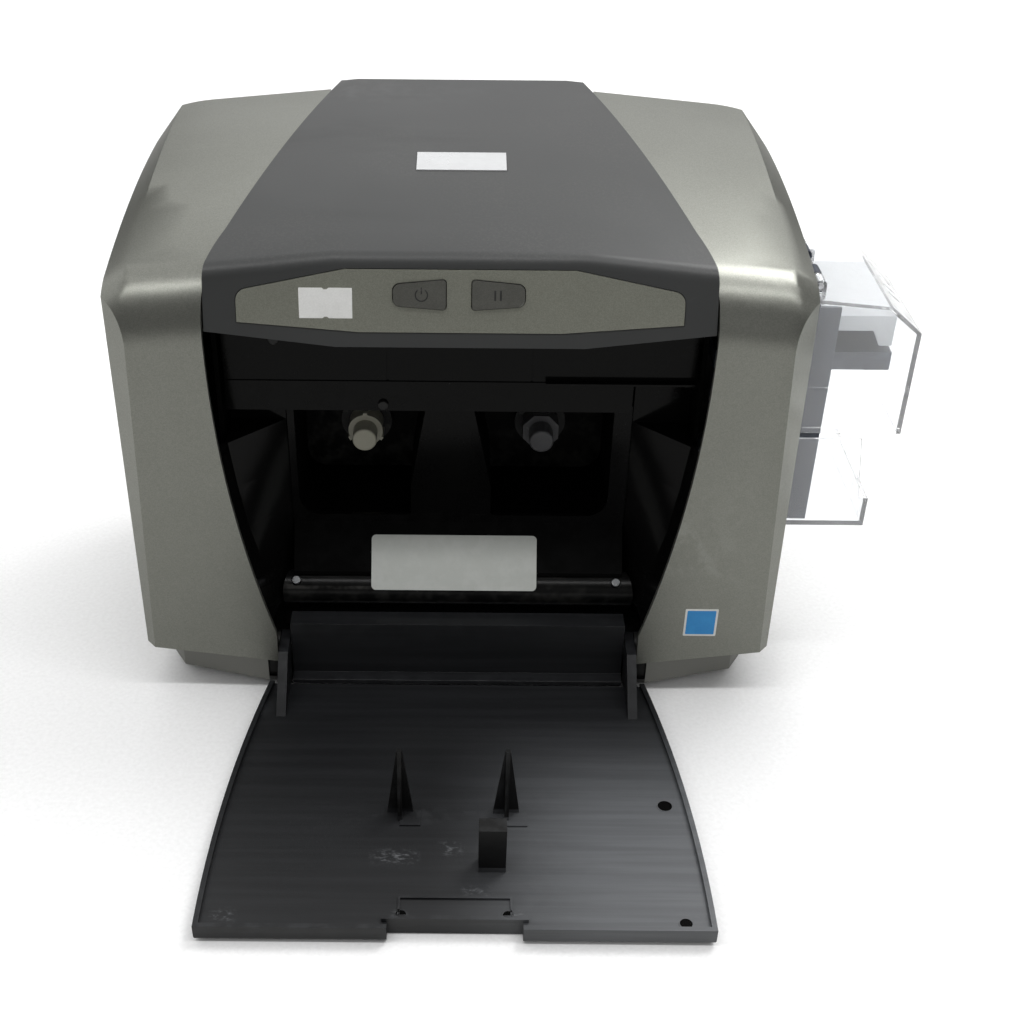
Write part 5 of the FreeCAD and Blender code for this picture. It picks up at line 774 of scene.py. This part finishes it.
@dataclass
class Housing(Assembly):
    """The side shells, base, rear panel and feet, with the blank blue sticker."""

    dressing: Dressing = (
        ("warm_grey_shell", 0.5, "left_side_shell right_side_shell"),
        # The base pan carries painted shade at the cavity's foot.
        ("base_grey", 0.3, "base_pan"),
        ("charcoal_cover", 0.3, "rear_panel"),
        ("foot_rubber", 0.4, "rubber_feet"))
    sticker_place: Triple = (115.4, -20.0, 44.6)
    sticker_width: float = 15.6
    sticker_height: float = 15.8
    sticker_margin: float = 1.0
    sticker_corner: float = 0.5
    border_thickness: float = 0.1
    field_thickness: float = 0.03

    def lay(self) -> None:
        """Lay the sticker's border and its blank field."""
        middle = place(*self.sticker_place)
        for name, inset, finish, thickness, lift in (
                ("sticker_border", 0.0, "note_paper", self.border_thickness, 0.0),
                ("sticker_field", self.sticker_margin, "blue_sticker", self.field_thickness,
                 self.border_thickness)):
            outline = rounded_outline(self.sticker_width - 2 * inset, self.sticker_height - 2 * inset,
                                      self.sticker_corner)
            piece = ThinPiece(name, "right_side_shell", "chassis", Vector((0, 1, 0)), thickness, lift)
            laid = piece.patch(middle, [middle + Vector((x * MM, 0, z * MM)) for x, z in outline])
            self.paint(laid, finish, "right_side_shell")


@dataclass
class Lid(Assembly):
    """The top cover with its panel, plate, note and keys."""

    dressing: Dressing = (
        ("charcoal_cover", 0.4, "top_cover"),
        ("panel_grey", 0.3, "control_panel"),
        ("key_grey", 0.35, "power_button pause_button"),
        ("silver_plate", 0.25, "name_plate"),
        ("bright_steel", 0.15, "hinge_pins"))
    power_x: float = -16.0
    pause_x: float = 15.4
    key_along: float = 17.3
    ring_radius: float = 2.5
    ring_span: Point = (125.0, 415.0)
    ring_steps: int = 36
    bar_shares: tuple[float, ...] = (0.15, 0.6, 1.05, 1.25)
    pause_shares: tuple[float, ...] = (-0.85, -0.3, 0.3, 0.85)
    pause_shift: float = 1.15
    line_width: float = 0.55
    pause_line_share: float = 1.5
    ink_thickness: float = 0.05
    note_low: Point = (-66.5, 7.3)
    note_high: Point = (-44.5, 19.8)
    note_thickness: float = 0.1
    notch: float = 1.3

    @property
    def into_face(self) -> Vector:
        """The direction straight into the tilted face."""
        return Vector((0, math.cos(FACE_TILT), -math.sin(FACE_TILT)))

    def lay(self) -> None:
        """Lay the keys' symbols and the note."""
        self.lay_symbols()
        self.lay_note()

    def lay_symbols(self) -> None:
        """Lay the open ring and bar of the power key and the two bars of the pause key."""
        ring = arc_points(self.ring_radius, *self.ring_span, self.ring_steps)
        bar, pause = ([(0.0, self.ring_radius * share) for share in shares]
                      for shares in (self.bar_shares, self.pause_shares))
        wide = self.line_width * self.pause_line_share
        for name, key, x, points, width in (
                ("power_ring", "power", self.power_x, ring, self.line_width),
                ("power_bar", "power", self.power_x, bar, self.line_width),
                ("pause_bar_left", "pause", self.pause_x - self.pause_shift, pause, wide),
                ("pause_bar_right", "pause", self.pause_x + self.pause_shift, pause, wide)):
            path = [face_place(x + px, self.key_along + py, ABOVE_FACE) for px, py in points]
            ink = ThinPiece(name, f"{key}_button", f"{key}_key", self.into_face, self.ink_thickness)
            self.paint(ink.stroke(path, width), "symbol_ink", f"{key}_button")

    def lay_note(self) -> None:
        """Lay the blank paper note with its two small notches."""
        (x0, s0), (x1, s1) = self.note_low, self.note_high
        mid, cut = (x0 + x1) / 2, self.notch
        edge = []
        for side, end, s in ((1, x1, s1), (-1, x0, s0)):
            edge += [(end, s), (mid + side * cut, s), (mid + side * cut / 2, s - side * cut / 2),
                     (mid - side * cut / 2, s - side * cut / 2), (mid - side * cut, s), (x0 + x1 - end, s)]
        outline = [face_place(x, s, ABOVE_FACE) for x, s in edge]
        piece = ThinPiece("paper_note", "control_panel", "lid", self.into_face, self.note_thickness)
        laid = piece.patch(face_place(mid, (s0 + s1) / 2, ABOVE_FACE), outline)
        self.paint(laid, "note_paper", "control_panel")


@dataclass
class FrontDoor(Assembly):
    """The open door, its threshold and the round marks that the mould's pins left on it."""

    dressing: Dressing = (("door_charcoal", 0.35, "front_door"), ("door_charcoal", 0.3, "door_threshold"))
    marks: tuple[Triple, ...] = (
        (92.2, -85.4, 3.4), (93.2, -152.6, 2.8), (-22, -149, 2.4), (21.5, -149, 2.4))
    mark_points: int = 48
    mark_thickness: float = 0.12
    rim_thickness: float = 0.25
    rim_width: float = 0.5

    def lay(self) -> None:
        """Lay the marks, each a dark disc with a raised rim."""
        down = Vector((0, 0, -1))
        steps = self.mark_points - 1
        last = 360.0 * steps / self.mark_points
        for number, (x, y, radius) in enumerate(self.marks, 1):
            ring = [place(x + px, y + py, ABOVE_DOOR) for px, py in arc_points(radius, 0, last, steps)]
            disc = ThinPiece(f"pin_mark_{number}", "front_door", "door", down, self.mark_thickness)
            self.paint(disc.patch(place(x, y, ABOVE_DOOR), ring), "black_cavity", "front_door")
            rim = ThinPiece(f"pin_rim_{number}", "front_door", "door", down, self.rim_thickness)
            self.paint(rim.stroke(ring, self.rim_width, closed=True), "door_charcoal", "front_door")


@dataclass
class Cavity(Assembly):
    """What shows inside the front opening."""

    dressing: Dressing = (
        ("black_cavity", 0.3, "left_cheek right_cheek header_panel window_plate lower_apron"),
        ("matt_black", 0.2, "left_ribbon_bay right_ribbon_bay card_rails left_frame_plate right_frame_plate"),
        # The rear bulkhead's front is painted near-black as painted shade.
        ("bulkhead_sheet", 0.15, "rear_bulkhead"),
        ("black_bar", 0.2, "cross_bar"),
        ("label_film", 0.0, "data_label"),
        ("screw_steel", 0.1, "screw_heads"))


@dataclass
class Mechanism(Assembly):
    """The ribbon drive, print head, rollers and frame behind the windows."""

    dressing: Dressing = (
        ("zinc_sheet", 0.15, "chassis_floor gear_plate tray_bracket"),
        ("beige_spindle", 0.3, "takeup_spindle"),
        ("grey_spindle", 0.3, "supply_spindle"),
        ("white_gear", 0.0, "takeup_gear takeup_pinion lift_cam cam_pinion idler_pulley motor_pulley"),
        ("motor_can", 0.3, "takeup_motor cam_motor drive_motor"),
        ("black_cavity", 0.2, "head_carrier"),
        ("print_head_two_part", 0.1, "print_head"),
        ("shaft_and_sleeve", 0.1, "platen_roller infeed_roller outfeed_roller infeed_pinch_roller"),
        ("shaft_and_sleeve", 0.1, "outfeed_pinch_roller pick_roller"),
        ("belt_rubber", 0.1, "timing_belt"),
        ("green_board", 0.1, "main_board"),
        ("socket_black", 0.15, "power_socket"),
        ("bright_steel", 0.1, "usb_socket tray_spring"))


@dataclass
class Hopper(Assembly):
    """The card hopper on the right with its clear cover, tray and bins."""

    dressing: Dressing = (
        ("navy_hopper", 0.3, "hopper_frame card_lift_tray"),
        ("pale_grey_cap", 0.3, "stack_cap"),
        ("clear_hopper", 0.3, "hopper_cover output_bin"))


@dataclass(frozen=True)
class Lamp:
    """A soft rectangular lamp, with its place, its aim and its size in metres."""

    name: str
    at: Triple
    aim: Triple
    length: float
    depth: float
    watts: float


@dataclass
class Studio:
    """The pale table, the soft lamps and the camera."""

    focal_pixels: float = 1412.3
    frame_pixels: float = 1024.0
    middle_pixel: Point = (457.8, 600.7)
    pitch: float = 36.0
    roll: float = 0.5
    camera_place: Triple = (0.0, -537.1, 446.4)
    sensor: float = 36.0
    near_clip: float = 0.01
    far_clip: float = 50.0
    table_radius: float = 6.0
    table_sides: int = 96
    surround: float = 0.42
    mirrored_surround: float = 0.05
    table_in_reflection: Colour = (206, 206, 204)
    table_fade: Point = (0.7, 2.4)
    lamps: tuple[Lamp, ...] = (
        Lamp("strip_lamp", (0, -0.35, 1.5), (0, -0.05, 0.2), 2.6, 0.1, 11),
        Lamp("overhead_lamp", (0.1, 0.8, 1.9), (0, 0, 0), 3, 2, 15),
        Lamp("rear_lamp", (0.4, 1.7, 1.2), (0, 0, 0.2), 2.4, 1.4, 9),
        Lamp("left_lamp", (-1.5, 0.6, 1), (-0.1, 0, 0.15), 1.4, 1, 4),
        Lamp("side_lamp", (0.6, 0.5, 1.35), (0.1, -0.1, 0.05), 0.5, 0.5, 7),
        Lamp("front_lamp", (0.4, -1.9, 0.9), (0, 0, 0.1), 1, 1, 0.8))

    def build(self) -> None:
        """Set up the whole studio."""
        self.build_camera()
        self.build_floor()
        self.build_world()
        self.build_lamps()
        bpy.context.scene.view_settings.view_transform = "Standard"
        LOG.info("studio is ready")

    def build_camera(self) -> None:
        """Place the camera where the photograph was taken."""
        right, down = (pixel / self.frame_pixels for pixel in self.middle_pixel)
        camera = adjust(
            bpy.data.cameras.new("photo_camera"), sensor_width=self.sensor, shift_x=0.5 - right,
            shift_y=down - 0.5, lens=self.focal_pixels * self.sensor / self.frame_pixels,
            clip_start=self.near_clip, clip_end=self.far_clip)
        holder = show("photo_camera", camera)
        holder.location = place(*self.camera_place)
        aim = Euler((math.radians(90.0 - self.pitch), 0.0, 0.0)).to_matrix()
        holder.rotation_euler = (aim @ Matrix.Rotation(math.radians(self.roll), 3, "Z")).to_euler()
        bpy.context.scene.camera = holder

    def build_floor(self) -> None:
        """Lay the pale table, a wide disc with a soft grain."""
        finish = Finish("pale_table", (250, 250, 250), (248, 248, 248), rough=0.85, rough_spread=0.05,
                        cloud_scale=2, grain_scale=500, grain_depth=20, dust=0, wear=0, scratches=0)
        shape = bmesh.new()
        bmesh.ops.create_circle(shape, cap_ends=True, segments=self.table_sides, radius=self.table_radius)
        mesh = bpy.data.meshes.new("table_top")
        shape.to_mesh(mesh)
        shape.free()
        mesh.materials.append(self.seen_pale(finish.build()))
        show("table_top", mesh)

    def seen_pale(self, material: Material) -> Material:
        """Let the table throw less light back on the printer than the camera sees on it."""
        sketch = ShaderSketch(material.node_tree)
        shader, clear = sketch.find("BSDF_PRINCIPLED"), self.clear_view(sketch)[0]
        seen = shader.inputs["Base Color"].links[0].from_socket
        sketch.feed(shader.inputs["Base Color"], sketch.mix(clear, self.table_in_reflection, seen))
        reach = sketch.node("ShaderNodeVectorMath", {0: sketch.here()}, operation="LENGTH")
        far = sketch.window(reach.outputs["Value"], *self.table_fade)
        glow = sketch.mix(sketch.times(far, clear), (0, 0, 0), (255, 255, 255))
        sketch.feed(shader.inputs["Emission Color"], glow)
        shader.inputs["Emission Strength"].default_value = 1.0
        return material

    @staticmethod
    def clear_view(sketch: ShaderSketch) -> tuple[Socket, Socket]:
        """Return 1 for rays from the camera or through clear plastic, and 1 for mirrored rays."""
        rays = sketch.node("ShaderNodeLightPath").outputs
        through = sketch.math("GREATER_THAN", rays["Transmission Depth"], 0.5)
        return sketch.math("MAXIMUM", rays["Is Camera Ray"], through), rays["Is Glossy Ray"]

    def build_world(self) -> None:
        """Give the camera a white surround, the object a softer one and its reflections a dim one."""
        world = bpy.data.worlds.new("studio_surround")
        world.use_nodes = True
        bpy.context.scene.world = world
        sketch = ShaderSketch(world.node_tree)
        light = sketch.find("BACKGROUND")
        sketch.feed(light.inputs["Color"], (255, 255, 255))
        clear, glossy = self.clear_view(sketch)
        lit = sketch.between(glossy, self.surround, self.mirrored_surround)
        sketch.feed(light.inputs["Strength"], sketch.between(clear, lit, 1.0))

    def build_lamps(self) -> None:
        """Hang the soft lamps above, behind, beside and in front of the printer."""
        for lamp in self.lamps:
            light = adjust(bpy.data.lights.new(lamp.name, "AREA"), shape="RECTANGLE", size=lamp.length,
                           size_y=lamp.depth, energy=lamp.watts)
            holder = show(lamp.name, light)
            holder.location = lamp.at
            holder.rotation_euler = (Vector(lamp.aim) - Vector(lamp.at)).to_track_quat("-Z", "Y").to_euler()


def main() -> None:
    """Build the studio and dress every part of the printer."""
    logging.basicConfig(level=logging.INFO, format="%(message)s")
    Studio().build()
    finishes, edges = {finish.name: finish.build() for finish in FINISHES}, EdgeWork()
    for kind in (Housing, Lid, FrontDoor, Cavity, Mechanism, Hopper):
        kind(finishes, edges).build()
        LOG.info("%s is done", kind.__name__)


if __name__ == "__main__":
    main()
